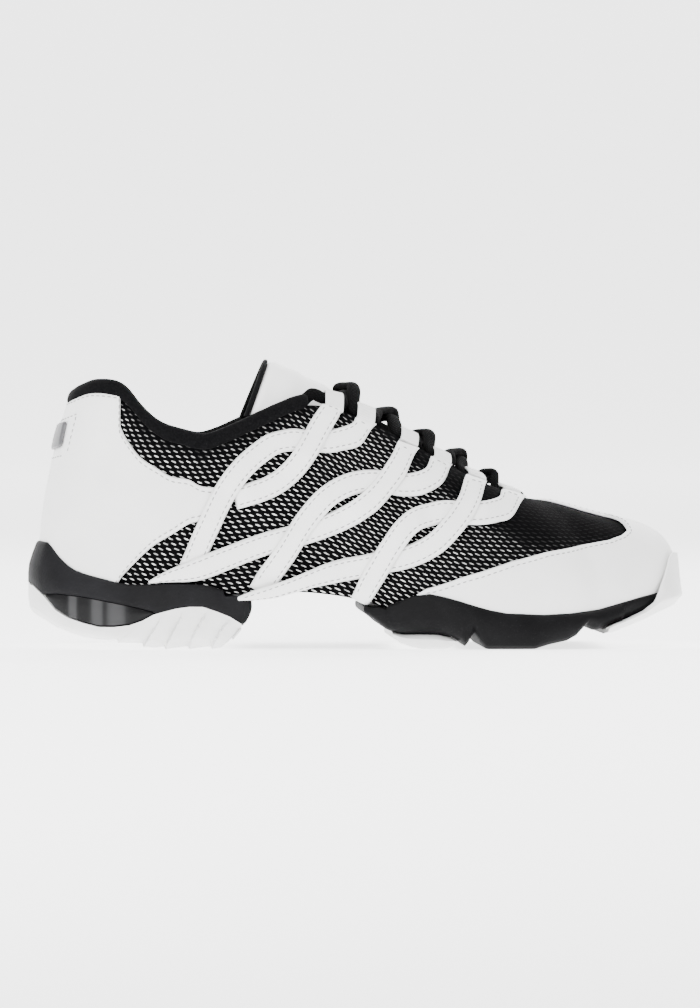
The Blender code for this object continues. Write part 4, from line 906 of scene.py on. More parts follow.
def woven(name, codes, rough, warp, weft, strength, sheen=0.0, glint=0.3):
    """Woven or braided polyester, by its thread spacing in metres: small raised cells that catch the
    light."""
    finish, tree, shader = new_finish(name, {"Roughness": rough, "Sheen Weight": sheen,
                                             "Specular IOR Level": glint})
    place = add_node(tree, "ShaderNodeUVMap", {"uv_map": "pattern"})
    scaled = add_node(tree, "ShaderNodeVectorMath", {"operation": "DIVIDE", 1: (warp, weft, 1)},
                      {0: place.outputs[0]})
    parts = add_node(tree, "ShaderNodeSeparateXYZ", {}, {0: scaled.outputs[0]})
    over = add_node(tree, "ShaderNodeMath", {"operation": "ADD"}, {0: parts.outputs[0], 1: parts.outputs[1]})
    under = add_node(tree, "ShaderNodeMath", {"operation": "SUBTRACT"},
                     {0: parts.outputs[0], 1: parts.outputs[1]})
    one = add_node(tree, "ShaderNodeMath", {"operation": "PINGPONG", 1: 1.0}, {0: over.outputs[0]})
    two = add_node(tree, "ShaderNodeMath", {"operation": "PINGPONG", 1: 1.0}, {0: under.outputs[0]})
    cells = add_node(tree, "ShaderNodeMath", {"operation": "MULTIPLY"},
                     {0: one.outputs[0], 1: two.outputs[0]})
    # The colour is lighter on the raised cells and darker between them: painted highlight on the cells and
    # painted shade in the hollows.
    colour = add_node(tree, "ShaderNodeValToRGB", {"stops": ((0.0, codes[0]), (0.6, codes[1]))},
                      {"Fac": cells.outputs[0]})
    tree.links.new(colour.outputs["Color"], shader.inputs["Base Color"])
    relief = add_node(tree, "ShaderNodeBump", {"Strength": strength, "Distance": 0.0003},
                      {"Height": cells.outputs[0]})
    tree.links.new(relief.outputs["Normal"], shader.inputs["Normal"])
    return finish


def brushed_knit():
    """Brushed polyester lining: short matt black nap with a faint grey bloom, a painted sheen on its raised
    fibres.
    """
    finish, tree, shader = new_finish("brushed_polyester_lining", {"Roughness": 0.9, "Sheen Weight": 0.02,
                                                                   "Sheen Roughness": 0.5,
                                                                   "Specular IOR Level": 0.03})
    where = add_node(tree, "ShaderNodeTexCoord")
    nap = add_node(tree, "ShaderNodeTexNoise", {"Scale": 1300.0, "Detail": 3.0},
                   {"Vector": where.outputs["Object"]})
    # Lighter where the nap stands higher: painted sheen.
    colour = add_node(tree, "ShaderNodeValToRGB", {"stops": ((0.35, "#060607"), (0.7, "#0F0F10"))},
                      {"Fac": nap.outputs[0]})
    tree.links.new(colour.outputs["Color"], shader.inputs["Base Color"])
    relief = add_node(tree, "ShaderNodeBump", {"Strength": 0.35, "Distance": 0.0004},
                      {"Height": nap.outputs[0]})
    tree.links.new(relief.outputs["Normal"], shader.inputs["Normal"])
    return finish


def moulded_foam(name, dark, light):
    """Compression-moulded EVA foam: matt near-black skin with a fine leather-like mould texture."""
    finish, tree, shader = new_finish(name, {"Roughness": 0.55, "Specular IOR Level": 0.07})
    where = add_node(tree, "ShaderNodeTexCoord")
    skin_marks = add_node(tree, "ShaderNodeTexVoronoi", {"Scale": 1100.0},
                          {"Vector": where.outputs["Object"]})
    clouds = add_node(tree, "ShaderNodeTexNoise", {"Scale": 60.0, "Detail": 5.0},
                      {"Vector": where.outputs["Object"]})
    colour = add_node(tree, "ShaderNodeValToRGB", {"stops": ((0.3, dark), (0.72, light))},
                      {"Fac": clouds.outputs[0]})
    tree.links.new(colour.outputs["Color"], shader.inputs["Base Color"])
    relief = add_node(tree, "ShaderNodeBump", {"Strength": 0.22, "Distance": 0.0003},
                      {"Height": skin_marks.outputs[0]})
    tree.links.new(relief.outputs["Normal"], shader.inputs["Normal"])
    return finish


def moulded_rubber():
    """Moulded white rubber: smooth satin, very slightly uneven in gloss."""
    finish, tree, shader = new_finish("moulded_white_rubber", {"Specular IOR Level": 0.45})
    where = add_node(tree, "ShaderNodeTexCoord")
    cloudy = add_node(tree, "ShaderNodeTexNoise", {"Scale": 90.0, "Detail": 4.0},
                      {"Vector": where.outputs["Object"]})
    colour = add_node(tree, "ShaderNodeValToRGB", {"stops": ((0.3, "#DDDDDC"), (0.7, "#E8E8E7"))},
                      {"Fac": cloudy.outputs[0]})
    tree.links.new(colour.outputs["Color"], shader.inputs["Base Color"])
    gloss = add_node(tree, "ShaderNodeMapRange", {"To Min": 0.34, "To Max": 0.5}, {0: cloudy.outputs[0]})
    tree.links.new(gloss.outputs[0], shader.inputs["Roughness"])
    fine = add_node(tree, "ShaderNodeTexNoise", {"Scale": 1600.0}, {"Vector": where.outputs["Object"]})
    relief = add_node(tree, "ShaderNodeBump", {"Strength": 0.08, "Distance": 0.0003},
                      {"Height": fine.outputs[0]})
    tree.links.new(relief.outputs["Normal"], shader.inputs["Normal"])
    return finish


def smoked_window():
    """Smoked thermoplastic window, polished: dark glassy sheet with the paler pillars behind it showing
    through."""
    finish, tree, shader = new_finish("smoked_thermoplastic",
                                      {"Roughness": 0.25, "Specular IOR Level": 0.12, "Coat Weight": 0.03,
                                                               "Coat Roughness": 0.06})
    shade = add_node(tree, "ShaderNodeAttribute", {"attribute_name": "shade"})
    colour = add_node(tree, "ShaderNodeValToRGB",
                      {"stops": ((0.0, "#0C0C0D"), (0.5, "#1B1B1C"), (1.0, "#363637"))},
                      {"Fac": shade.outputs["Fac"]})
    tree.links.new(colour.outputs["Color"], shader.inputs["Base Color"])
    return finish


def plain_patch():
    """Printed polyurethane patch: flat mid grey, satin."""
    finish, tree, shader = new_finish("printed_polyurethane_patch", {"Roughness": 0.35})
    where = add_node(tree, "ShaderNodeTexCoord")
    grain = add_node(tree, "ShaderNodeTexNoise", {"Scale": 900.0}, {"Vector": where.outputs["Object"]})
    colour = add_node(tree, "ShaderNodeValToRGB", {"stops": ((0.3, "#4C4C4E"), (0.7, "#5C5C5E"))},
                      {"Fac": grain.outputs[0]})
    tree.links.new(colour.outputs["Color"], shader.inputs["Base Color"])
    relief = add_node(tree, "ShaderNodeBump", {"Strength": 0.1, "Distance": 0.0002},
                      {"Height": grain.outputs[0]})
    tree.links.new(relief.outputs["Normal"], shader.inputs["Normal"])
    return finish


MESH = knitted_mesh()
LEATHER = synthetic_leather()
# The thread is light grey; the darker grey of its range is painted shade on the stitches.
THREAD_FINISH = woven("spun_polyester_thread", ("#8A8A8A", "#A8A8A8"), 0.6, 0.0004, 0.0004, 0.2)
# Threads of the tape are 0.35 mm apart, drawn at 0.5 mm so that they show
TAPE = woven("woven_polyester_tape", ("#DADAD9", "#F3F3F2"), 0.62, 0.0005, 0.0005, 0.3)
# Braid of the lace, strands 0.8 mm apart
BRAID = woven("braided_polyester_cord", ("#030303", "#0C0C0D"), 0.8, 0.0009, 0.0006, 0.8, 0.01, 0.04)
BLACK_TAPE = woven("woven_polyester_binding", ("#060607", "#121213"), 0.7, 0.0005, 0.0005, 0.3, 0.0, 0.05)
LINING = brushed_knit()
HEEL_FOAM = moulded_foam("moulded_eva_heel", "#101011", "#18181A")
FORE_FOAM = moulded_foam("moulded_eva_forefoot", "#060607", "#0E0E0F")
RUBBER = moulded_rubber()
WINDOW = smoked_window()
PATCH = plain_patch()


# The pieces of the shoe
CREASES = ((0.600, 0.62, 0.10, 0.010, 0.30, -0.00045), (0.622, 0.66, 0.12, 0.011, 0.30, 0.00035),
           (0.650, 0.70, 0.10, 0.012, 0.28, -0.00050), (0.676, 0.72, 0.05, 0.013, 0.28, 0.00030),
           (0.702, 0.66, 0.02, 0.012, 0.25, -0.00040), (0.545, 0.60, 0.08, 0.014, 0.22, 0.00030),
           (0.300, 0.62, -0.20, 0.016, 0.25, -0.00035), (0.335, 0.55, -0.18, 0.018, 0.25, 0.00030),
           (0.410, 0.60, 0.10, 0.020, 0.25, -0.00030), (0.095, 0.55, 0.06, 0.016, 0.22, -0.00040),
           (0.120, 0.48, 0.08, 0.014, 0.22, 0.00030), (0.780, 0.62, 0.03, 0.016, 0.22, 0.00035),
           (0.815, 0.66, 0.02, 0.018, 0.22, -0.00035), (0.860, 0.60, 0.0, 0.030, 0.25, 0.00030))


def crease(around, up):
    """Soft troughs and ridges where the vamp bends and the quarter and counter have settled."""
    around, up = np.asarray(around, float), np.asarray(up, float)
    lift = np.zeros(np.broadcast(around, up).shape)
    for place, middle, lean, wide, tall, high in CREASES:
        away = (around - place - lean * (up - middle)) / wide
        lift = lift + high * np.exp(-away**2 - ((up - middle) / tall)**2)
    fade = np.clip((up - 0.30) / 0.15, 0, 1) * np.clip((1.0 - up) / 0.10, 0, 1)
    return lift * fade


def dressed(places, sides, lift):
    """Rows of places on the wall, each with its side, lifted off it with the creases."""
    places = np.asarray(places, float)
    lift = np.broadcast_to(lift, places.shape[:2])
    raised = lift + crease(places[..., 0], places[..., 1])
    return np.array([skin(row[:, 0], row[:, 1], side, up) for row, side, up in zip(places, sides, raised)])


def gaps_to_edge(surface, ends=(True, True)):
    """Distance of each point of a grid from the edge of the piece."""
    steps = np.linalg.norm(np.diff(surface, axis=1), axis=2)
    over = np.concatenate([np.zeros((len(surface), 1)), np.cumsum(steps, axis=1)], axis=1)
    distance = np.minimum(over, over[:, -1:] - over)
    steps = np.linalg.norm(np.diff(surface, axis=0), axis=2)
    down = np.concatenate([np.zeros((1, surface.shape[1])), np.cumsum(steps, axis=0)], axis=0)
    if ends[0]:
        distance = np.minimum(distance, down)
    if ends[1]:
        distance = np.minimum(distance, down[-1:] - down)
    return distance


def overlay(name, places, sides, lift, seams, puff=0.0, thick=OVERLAY, finish=None, ends=(True, True)):
    """A cut sheet that lies on the wall with rolled edges, and its sewn seams."""
    places = np.asarray(places, float)
    lift = np.broadcast_to(lift, places.shape[:2]).copy()
    bottom = dressed(places, sides, lift)
    distance = gaps_to_edge(bottom, ends)
    roll = np.clip(distance / 0.0009, 0, 1)
    across_share = np.linspace(-1, 1, places.shape[1])[None, :]
    height = thick * (0.3 + 0.7 * np.sqrt(1 - (1 - roll)**2)) + puff * (1 - across_share**2) * roll
    top = dressed(places, sides, lift + height)
    points = [*bottom.reshape(-1, 3), *top.reshape(-1, 3)]
    faces = slab_faces(*places.shape[:2])
    choose = [0] * len(faces)
    for path in seams:
        path = np.asarray(path, float)
        at = np.array([read_grid(top, i, j) for i, j in path])
        low = np.array([read_grid(bottom, i, j) for i, j in path])
        stitches(at, at - low, 1, points, faces, choose)
    made = lay(name, points, faces, [finish or LEATHER, THREAD_FINISH], choose)
    return face_out(made)


def read_grid(grid, i, j):
    """Point of a grid at a place counted in rows and columns."""
    i = min(max(i, 0), len(grid) - 1.001)
    j = min(max(j, 0), grid.shape[1] - 1.001)
    a, b = int(i), int(j)
    s, t = i - a, j - b
    return (grid[a, b] * (1 - s) * (1 - t) + grid[a + 1, b] * s * (1 - t) + grid[a, b + 1] * (1 - s) * t
            + grid[a + 1, b + 1] * s * t)


def build_upper():
    """The knitted upper, lined, open at the collar and throat and turned in underneath."""
    stations = np.unique(np.concatenate([np.linspace(0, 1, 181), [ARCH_BACK, ARCH_FRONT]]))
    ups = np.linspace(0, 1, 61)
    grid = np.stack(np.meshgrid(stations, ups, indexing="ij"), -1)
    points, faces, pattern, shade = [], [], [], []
    for side in (OUTER, INNER):
        surface = dressed(grid, [side] * len(stations), 0.0)
        run = np.concatenate([[0], np.cumsum(np.linalg.norm(np.diff(surface[:, 30], axis=0), axis=1))])
        climb = np.concatenate([np.zeros((len(stations), 1)),
                                np.cumsum(np.linalg.norm(np.diff(surface, axis=1), axis=2), axis=1)], axis=1)
        first = len(points)
        for i, around in enumerate(stations):
            base, outward = foot(around, side)
            centre = (foot(around, OUTER)[0] + foot(around, INNER)[0]) / 2
            reach = np.linalg.norm(base - centre)
            inside = base - outward * min(MARGIN, 0.9 * max(reach, 1e-9))
            if around in (0.0, 1.0):
                inside = base - outward * MARGIN
            points += [centre, inside, *surface[i]]
            pattern += [(run[i], -0.03), (run[i], -0.01), *[(run[i], c) for c in climb[i]]]
            vamp = np.clip((around - 0.56) / 0.16, 0, 1)
            high = np.clip((ups - (0.80 - 0.42 * vamp)) / 0.22, 0, 1)
            open_share = (1 - high**1.5 * (0.75 + 0.1 * vamp)) * (1 - 0.35 * vamp)
            shade += [0, 0, *open_share]
        columns = len(ups) + 2
        for i in range(len(stations) - 1):
            arch = ARCH_BACK - 1e-6 <= stations[i] and stations[i + 1] <= ARCH_FRONT + 1e-6
            for j in range(0 if arch else 1, columns - 1):
                a = first + i * columns + j
                quad = (a, a + columns, a + columns + 1, a + 1)
                faces.append(quad if side == OUTER else quad[::-1])
    made = lay("upper_knit", points, faces, [MESH, LINING], None, pattern, shade)
    thick = made.modifiers.new("wall", "SOLIDIFY")
    thick.thickness = WALL
    thick.offset = -1
    thick.material_offset = 1
    thick.material_offset_rim = 1
    return settle(made, "mesh_fabric", "upper")


# How far the leather goes down behind the rim of the sole
TUCK = 0.0012
COUNTER_COVER = 0.995
COUNTER_EDGE = (*COUNTER_ROWS[:6], (0.115, None, None), (0.127, None, 252), (0.1295, None, 226),
                (0.133, None, 217), (0.142, 73, 207), (0.158, 86, 193.5), (0.186, 104, 180),
                (0.215, 117, 170),
                (0.247, 127, 162.8), (0.280, 137, 160))


def build_counter():
    """Heel counter with its wing on each side, sewn near its edge."""
    knots = np.array([row[0] for row in COUNTER_EDGE])
    lows, highs = [], []
    for around, low_units, high_units in COUNTER_EDGE:
        low = float(up_at(around, heel_height(rim_at(around)) - TUCK, OUTER))
        if low_units:
            low = max(low, float(up_at(around, low_units / GRID_INSTEP * INSTEP_HEIGHT, OUTER)))
        high = COUNTER_COVER
        if high_units:
            high = float(up_at(around, high_units / GRID_INSTEP * INSTEP_HEIGHT, OUTER, 0.0, 1.0))
        lows.append(low)
        highs.append(high)
    lows, highs = np.array(lows), np.array(highs)
    low_slopes, high_slopes = slopes(knots, lows, False), slopes(knots, highs, False)
    half = np.unique(np.concatenate([np.linspace(a, b, 9) for a, b in zip(knots, knots[1:])]))
    shares = np.linspace(0, 1, 49)
    rows, sides = [], []
    for around, side in [(a, OUTER) for a in half[::-1]] + [(a, INNER) for a in half[1:]]:
        low = float(follow(knots, lows, low_slopes, around)[0])
        high = float(follow(knots, highs, high_slopes, around)[0])
        rows.append([(around, low + (high - low) * share) for share in shares])
        sides.append(side)
    rows = np.array(rows)
    count = len(half)
    surface = dressed(rows, sides, OVERLAY_GAP)
    tall = np.cumsum(np.linalg.norm(np.diff(surface, axis=1), axis=2), axis=1)[:, -1]
    inset = 0.0021
    seams = []
    for rows_at in (np.arange(2.0, count - 5), np.arange(count + 4.0, 2 * count - 3)):
        margin = np.interp(rows_at, np.arange(len(tall)), inset / tall * 48)
        near = np.minimum(margin, 20)
        upper_line = np.stack([rows_at, 48 - near], -1)
        front = np.abs(rows_at - (count - 1)) > 48
        seams.append(upper_line)
        seams.append(np.stack([rows_at, near], -1)[front])
    box = [(-0.052, 0.715), (-0.057, 0.892), (0.057, 0.892), (0.052, 0.715), (-0.052, 0.715)]
    line = []
    for (a, up), (b, stop) in zip(box, box[1:]):
        for share in np.linspace(0, 1, 12, endpoint=False):
            at, height = a + (b - a) * share, up + (stop - up) * share
            row = count - 1 + math.copysign(np.interp(abs(at), half, np.arange(count)), at)
            low = float(follow(knots, lows, low_slopes, abs(at))[0])
            high = float(follow(knots, highs, high_slopes, abs(at))[0])
            line.append((row, (height - low) / (high - low) * 48))
    seams.append(line)
    made = overlay("heel_counter_leather", rows, sides, OVERLAY_GAP, seams)
    return settle(made, "white_synthetic", "heel_counter")


def build_cap():
    """Toe cap, sewn along its top edge, open in a V behind the tip."""
    edge = [on_side(along, up) for along, up in ((383.5, 54.5), *CAP_OUTER)]
    outer_edge = [(float(a), float(u)) for a, u in edge if a < CAP_TIP - 0.01] + [(CAP_TIP, 1.0)]
    rows, sides = [], []
    for side, line in ((OUTER, outer_edge), (INNER, CAP_INNER)):
        knots = [place[0] for place in line]
        stations = np.unique(np.concatenate([np.linspace(knots[0], 1, 91),
                                             [CAP_TIP - 0.006, CAP_TIP - 0.0061]]))
        half = []
        for around in stations:
            low = float(up_at(around, fore_rim_at(around, side) - TUCK, side))
            top = max(float(np.interp(around, knots, [place[1] for place in line])), low + 0.006)
            top = 1.0 if around >= CAP_TIP - 0.006 else top
            half.append([(around, low + (top - low) * share) for share in np.linspace(0, 1, 41)])
        if side == INNER:
            half = half[-2::-1]
        rows += half
        sides += [side] * len(half)
    rows = np.array(rows)
    surface = dressed(rows, sides, OVERLAY_GAP)
    tall = np.cumsum(np.linalg.norm(np.diff(surface, axis=1), axis=2), axis=1)[:, -1]
    seams = []
    for begin, stop in ((2.0, 81.0), (104.0, len(rows) - 3.0)):
        rows_at = np.arange(begin, stop)
        margin = np.interp(rows_at, np.arange(len(tall)), np.minimum(0.0020 / tall * 40, 18))
        seams.append(np.stack([rows_at, 40 - margin], -1))
    made = overlay("toe_cap_leather", rows, sides, OVERLAY_GAP, seams)
    return settle(made, "white_synthetic", "toe_cap")


def strap_places(rows, steps):
    """Fine places for a strap, with the number of straps beneath it at each row."""
    rows = np.array(rows)
    knots = np.concatenate([[0], np.cumsum(np.hypot(np.diff(rows[:, 0]), np.diff(rows[:, 1])))])
    at = np.linspace(0, knots[-1], STRAP_STEPS)
    lines = [follow(knots, rows[:, k], slopes(knots, rows[:, k], False), at) for k in range(4)]
    run = np.stack([lines[0][1], lines[1][1]], -1)
    run = run / np.linalg.norm(run, axis=1, keepdims=True)
    half = STRAP_WIDTH / LENGTH * GRID_LENGTH / 2 * lines[2][0]
    grid = []
    for i in range(STRAP_STEPS):
        row = []
        for share in (-1, 0, 1):
            x = lines[0][0][i] - run[i, 1] * half[i] * share
            z = lines[1][0][i] + run[i, 0] * half[i] * share
            row.append(on_side(x, z))
        grid.append(row)
    rows_at = np.linspace(0, STRAP_STEPS - 1, steps)
    grid = through(grid, rows_at)
    level = np.interp(rows_at, np.arange(STRAP_STEPS), lines[3][0])
    share = np.linspace(-1, 1, 13)[None, :, None]
    low, middle, high = grid[:, None, 0], grid[:, None, 1], grid[:, None, 2]
    return middle + (high - low) / 2 * share + (high + low - 2 * middle) / 2 * share**2, level


def build_straps():
    for name, rows in STRAPS.items():
        steps = 81
        places, level = strap_places(rows, steps)
        lift = (OVERLAY_GAP + np.clip(level, 0, 2) * (OVERLAY + OVERLAY_GAP))[:, None]
        down = np.arange(2.0, steps - 2)
        seams = [np.stack([down, np.full(len(down), column)], -1) for column in (2.1, 9.9)]
        seams.append(np.array([(2.0, column) for column in np.linspace(2.1, 9.9, 9)]))
        for side, word in ((OUTER, "lateral"), (INNER, "medial")):
            made = overlay(f"strap_{word}_{name}_leather", places, [side] * steps, lift, seams, 0.00025)
            settle(made, "white_synthetic", f"strap_{word}_{name}")


BADGE_WIDE = 0.041


def build_badge():
    """Bare grey patch on the back of the counter."""
    signed = np.linspace(-BADGE_WIDE, BADGE_WIDE, 33)
    ups = np.linspace(BADGE_UP[0], BADGE_UP[1], 25)
    rows = np.array([[(abs(a), up) for up in ups] for a in signed])
    # Corners are cut round by drawing in the ends of the rows near them
    for i, a in enumerate(signed):
        cut = min(1.0, max(0.0, abs(a) / BADGE_WIDE - 0.8) / 0.2)
        draw_in = (1 - math.sqrt(max(0.0, 1 - cut**2))) * 0.22
        middle = (BADGE_UP[0] + BADGE_UP[1]) / 2
        rows[i, :, 1] = middle + (rows[i, :, 1] - middle) * (1 - draw_in)
    sides = [OUTER if a <= 0 else INNER for a in signed]
    made = overlay("heel_badge_patch", rows, sides, OVERLAY_GAP * 2 + OVERLAY, [], 0.0002, 0.0008, PATCH)
    return settle(made, "grey_patch", "heel_badge")


# Corner radii round each section, from the top's middle to the bottom's
HEEL_ROUNDS = (0.0009, 0.0009, 0.0009, 0.0009, 0.0012, 0.0060, 0.0006, 0.0006, 0.0009)
FORE_ROUNDS = (0.0010, 0.0010, 0.0010, 0.0010, 0.0012, 0.0045, 0.0045, 0.0030)


def ringed(points_of, stations, radius):
    """Rings with rounded corners from a section on each side."""
    return [across(soften(points_of(a, OUTER), radius), soften(points_of(a, INNER), radius))
            for a in stations]


def build_heel():
    """Foam heel cup, its smoked windows and the ribbed rubber beneath."""
    stop = float(around_at(209.5))
    rings = ringed(heel_midsole_points, np.linspace(0, stop, 111), HEEL_ROUNDS)
    front = np.array([np.array(p) for p in rings[-1]])
    low, high = front[:, 2].min(), front[:, 2].max()
    share = (front[:, 2] - low) / (high - low)
    reach = grid_x(HEEL_FRONT_LOW) + (grid_x(HEEL_FRONT) - grid_x(HEEL_FRONT_LOW)) * np.sin(share * 2.1)
    for part, draw_in in ((0.5, 0.99), (0.8, 0.965), (0.95, 0.93), (1.0, 0.88)):
        ring = front.copy()
        ring[:, 0] = front[:, 0] + (reach - front[:, 0]) * part
        ring[:, 1] *= draw_in
        ring[:, 2] = low + (high - low) * (0.5 + (share - 0.5) * (1 - 0.12 * part**4))
        rings.append(ring)
    settle(loft("heel_midsole_foam", rings, [HEEL_FOAM]), "foam", "heel_midsole")

    for side, word in ((OUTER, "lateral"), (INNER, "medial")):
        rings, shade = [], []
        for around in np.linspace(HEEL_BACK[WINDOW_BACK], float(around_at(HEEL_SIDES[3])), 121):
            base, outward = foot(around, side)
            wide = spread(around)
            units = units_of(base[0] + outward[0] * wide)
            low = heel_height(contour(HEEL_LIP, units)) + WINDOW_CLEAR
            high = heel_height(contour(WINDOW_TOP, units))
            pillar = max(math.exp(-((units - place) / breadth)**4) for place, breadth in
                         ((43, 5), (67, 7), (86, 11)))
            ring = []
            corners = ((wide - LIP_WALL, low), (wide - 0.0004, low), (wide - 0.0002, (low + high) / 2),
                       (wide - 0.0004, high), (wide - LIP_WALL, high), (wide - LIP_WALL, (low + high) / 2))
            for distance, height in corners:
                point = base + outward * distance
                point[2] = height
                ring.append(point)
                shade.append(pillar)
            rings.append(ring)
        made = loft(f"heel_window_{word}_smoked", rings, [WINDOW], shade=shade)
        settle(made, "smoked_window", f"heel_window_{word}")

    rings = []
    for around in np.linspace(0, stop, 241):
        sides = []
        for side in (OUTER, INNER):
            points = heel_outsole_points(around, side)
            outward = foot(around, side)[1]
            lip, low = points[3][2], points[6][2]
            wall_line = rounded_line(soften(points[3:7], 0.0045), 3)
            line = [*points[:2], points[1] * 0.1 + points[2] * 0.9, points[2], *wall_line]
            for point in wall_line:
                units, share = units_of(point[0]), (point[2] - low) / max(lip - low, 1e-6)
                depth = rib_depth(units, share) * min(1.0, max(0.0, 1 - share) * 2.2)
                point -= outward * depth
                if share < 0.2:
                    point[2] += notch(units)
            centre = points[7].copy()
            centre[2] += notch(units_of(centre[0]))
            sides.append([*line, centre])
        rings.append(across(sides[0], sides[1]))
    settle(loft("heel_outsole_rubber", rings, [RUBBER]), "white_rubber", "heel_outsole")


RIB_STARTS = (60, 88, 113, 135, 158, 181, 202, 222)
RIB_LEAN = 21.0
RIB_DEPTH = 0.0019


def rib_share(units):
    """Share of the way from the start of one rib to the next."""
    if not RIB_STARTS[0] < units < RIB_STARTS[-1]:
        return 0.0
    number = int(np.searchsorted(RIB_STARTS, units, side="right")) - 1
    return (units - RIB_STARTS[number]) / (RIB_STARTS[number + 1] - RIB_STARTS[number])


def rib_depth(units, share):
    """Slanted, curved ribs on the heel's side, each standing over the one before like a scale."""
    moved = units - RIB_LEAN * max(share, 0.0)**1.3
    near = min(1.0, max(0.0, (moved - 84) / 20))
    return rib_share(moved) * RIB_DEPTH * near


def notch(units):
    """Saw-tooth steps under the heel."""
    return 0.0012 * rib_share(units) * min(1.0, max(0.0, (units - 56) / 30))


def build_forefoot():
    """Foam forefoot with its rubber pad and toe bumper."""
    first, last_place = float(around_at(333)), 1.0
    knots = [float(around_at(units)) for units in (431, 435, 440, 445, 541, 545, 549, 554)]
    stations = np.unique(np.concatenate([np.linspace(first, last_place, 141), knots]))
    settle(loft("forefoot_midsole_foam", ringed(fore_midsole_points, stations, FORE_ROUNDS), [FORE_FOAM]),
           "foam",
           "forefoot_midsole")

    rings = []
    for units in np.linspace(POD_UNITS[0], POD_UNITS[-1], 61):
        around = around_at(units)
        low = fore_height(contour(POD_BOTTOM, units))
        ends = POD_ROUNDING * abs(units - 392) / 32
        front_share = max(0.0, (units - 406) / (POD_UNITS[-1] - 406))
        sides = []
        for side in (OUTER, INNER):
            base, outward = foot(around, side)
            high = fore_low(around, side) - GAP
            centre = (foot(around, OUTER)[0] + foot(around, INNER)[0]) / 2
            points = [np.array([base[0], centre[1], high])]
            low = low + (high - low) * 0.85 * front_share**3
            for distance, height in ((0.0003 - ends, high), (0.0036 - ends, low + (high - low) * 0.7),
                                     (0.0020 - ends, low)):
                point = base + outward * distance
                points.append(np.array([base[0], point[1], height]))
            sides.append(soften(points + [np.array([base[0], centre[1], low])], 0.0012))
        rings.append(across(sides[0], sides[1]))
    settle(loft("forefoot_pod_rubber", rings, [RUBBER]), "white_rubber", "forefoot_pod")

    stations = np.linspace(float(around_at(568)), 1.0, 61)
    settle(loft("toe_bumper_rubber", ringed(toe_points, stations, 0.0008), [RUBBER]), "white_rubber",
           "toe_bumper")


def build_insole():
    """Flat inner sole with a brushed cover."""
    rings = []
    for around in np.linspace(0, 1, 81):
        sides = []
        for side in (OUTER, INNER):
            base, outward = foot(around, side)
            centre = (foot(around, OUTER)[0] + foot(around, INNER)[0]) / 2
            ahead = foot(min(1.0, around + 0.06), side)[0][2] if around > 0.8 else base[2]
            floor = max(base[2], ahead) + WALL + INSOLE_GAP
            low = base - outward * (WALL + 0.0022)
            high = base - outward * (WALL + 0.0012)
            low[2] = floor
            high[2] = floor + INSOLE
            middle = low.copy() if around in (0.0, 1.0) else np.array([low[0], centre[1], floor])
            over = high.copy() if around in (0.0, 1.0) else np.array([high[0], centre[1], floor + INSOLE])
            sides.append([middle, low, high, over])
        rings.append(across(sides[0], sides[1]))
    settle(loft("insole_cover", rings, [LINING]), "lining", "insole")


COLLAR_SECTION = ((0.0012, -0.42), (0.0021, 0.25), (0.0008, 0.88), (-0.0018, 1.05), (-0.0041, 0.85),
                  (-0.0050, 0.30), (-0.0034, -0.25))


def build_collar():
    """Padded roll round the top of the wall, a little fuller between the places where it is caught down."""
    stations = np.linspace(COLLAR_FRONT + 0.012, 0.0, 150)
    route = [(a, OUTER) for a in stations] + [(a, INNER) for a in stations[-2::-1]]
    frames = np.array([top_frame(a, side)[:3] for a, side in route])
    # The stuffed roll bridges small changes of the edge beneath it
    window = np.hanning(25)[:, None, None]
    padded = np.concatenate([frames[:1]] * 12 + [frames] + [frames[-1:]] * 12)
    smooth = np.array([(padded[k:k + 25] * window).sum(0) / window.sum() for k in range(len(frames))])
    section = rounded_line([(out, share, 0) for out, share in COLLAR_SECTION], 4, True)[:, :2]
    girth = np.concatenate([[0], np.cumsum(np.hypot(*np.diff(section * (1, COLLAR_ROLL), axis=0).T))])
    rings, pattern = [], []
    length = 0.0
    for k, ((around, side), (edge, outward, climb)) in enumerate(zip(route, smooth)):
        outward, climb = outward / np.linalg.norm(outward), climb / np.linalg.norm(climb)
        ending = min(1.0, min(k, len(route) - 1 - k) / 5)
        full = (1 + 0.012 * math.sin(around * 190) + 0.01 * math.sin(around * 77 + side)) * (0.35 + 0.65
                                                                                             * ending**0.5)
        ring = [edge + outward * (-0.0014 + (out + 0.0014) * full)
                + climb * (GAP + 0.0006 + COLLAR_ROLL * (0.3 + (share - 0.3) * full)) for out,
                share in section]
        if rings:
            length += np.linalg.norm(ring[0] - rings[-1][0])
        rings.append(ring)
        pattern += [(length, g) for g in girth]
    made = loft("collar_roll", rings, [LINING], pattern=pattern)
    settle(made, "lining", "collar")


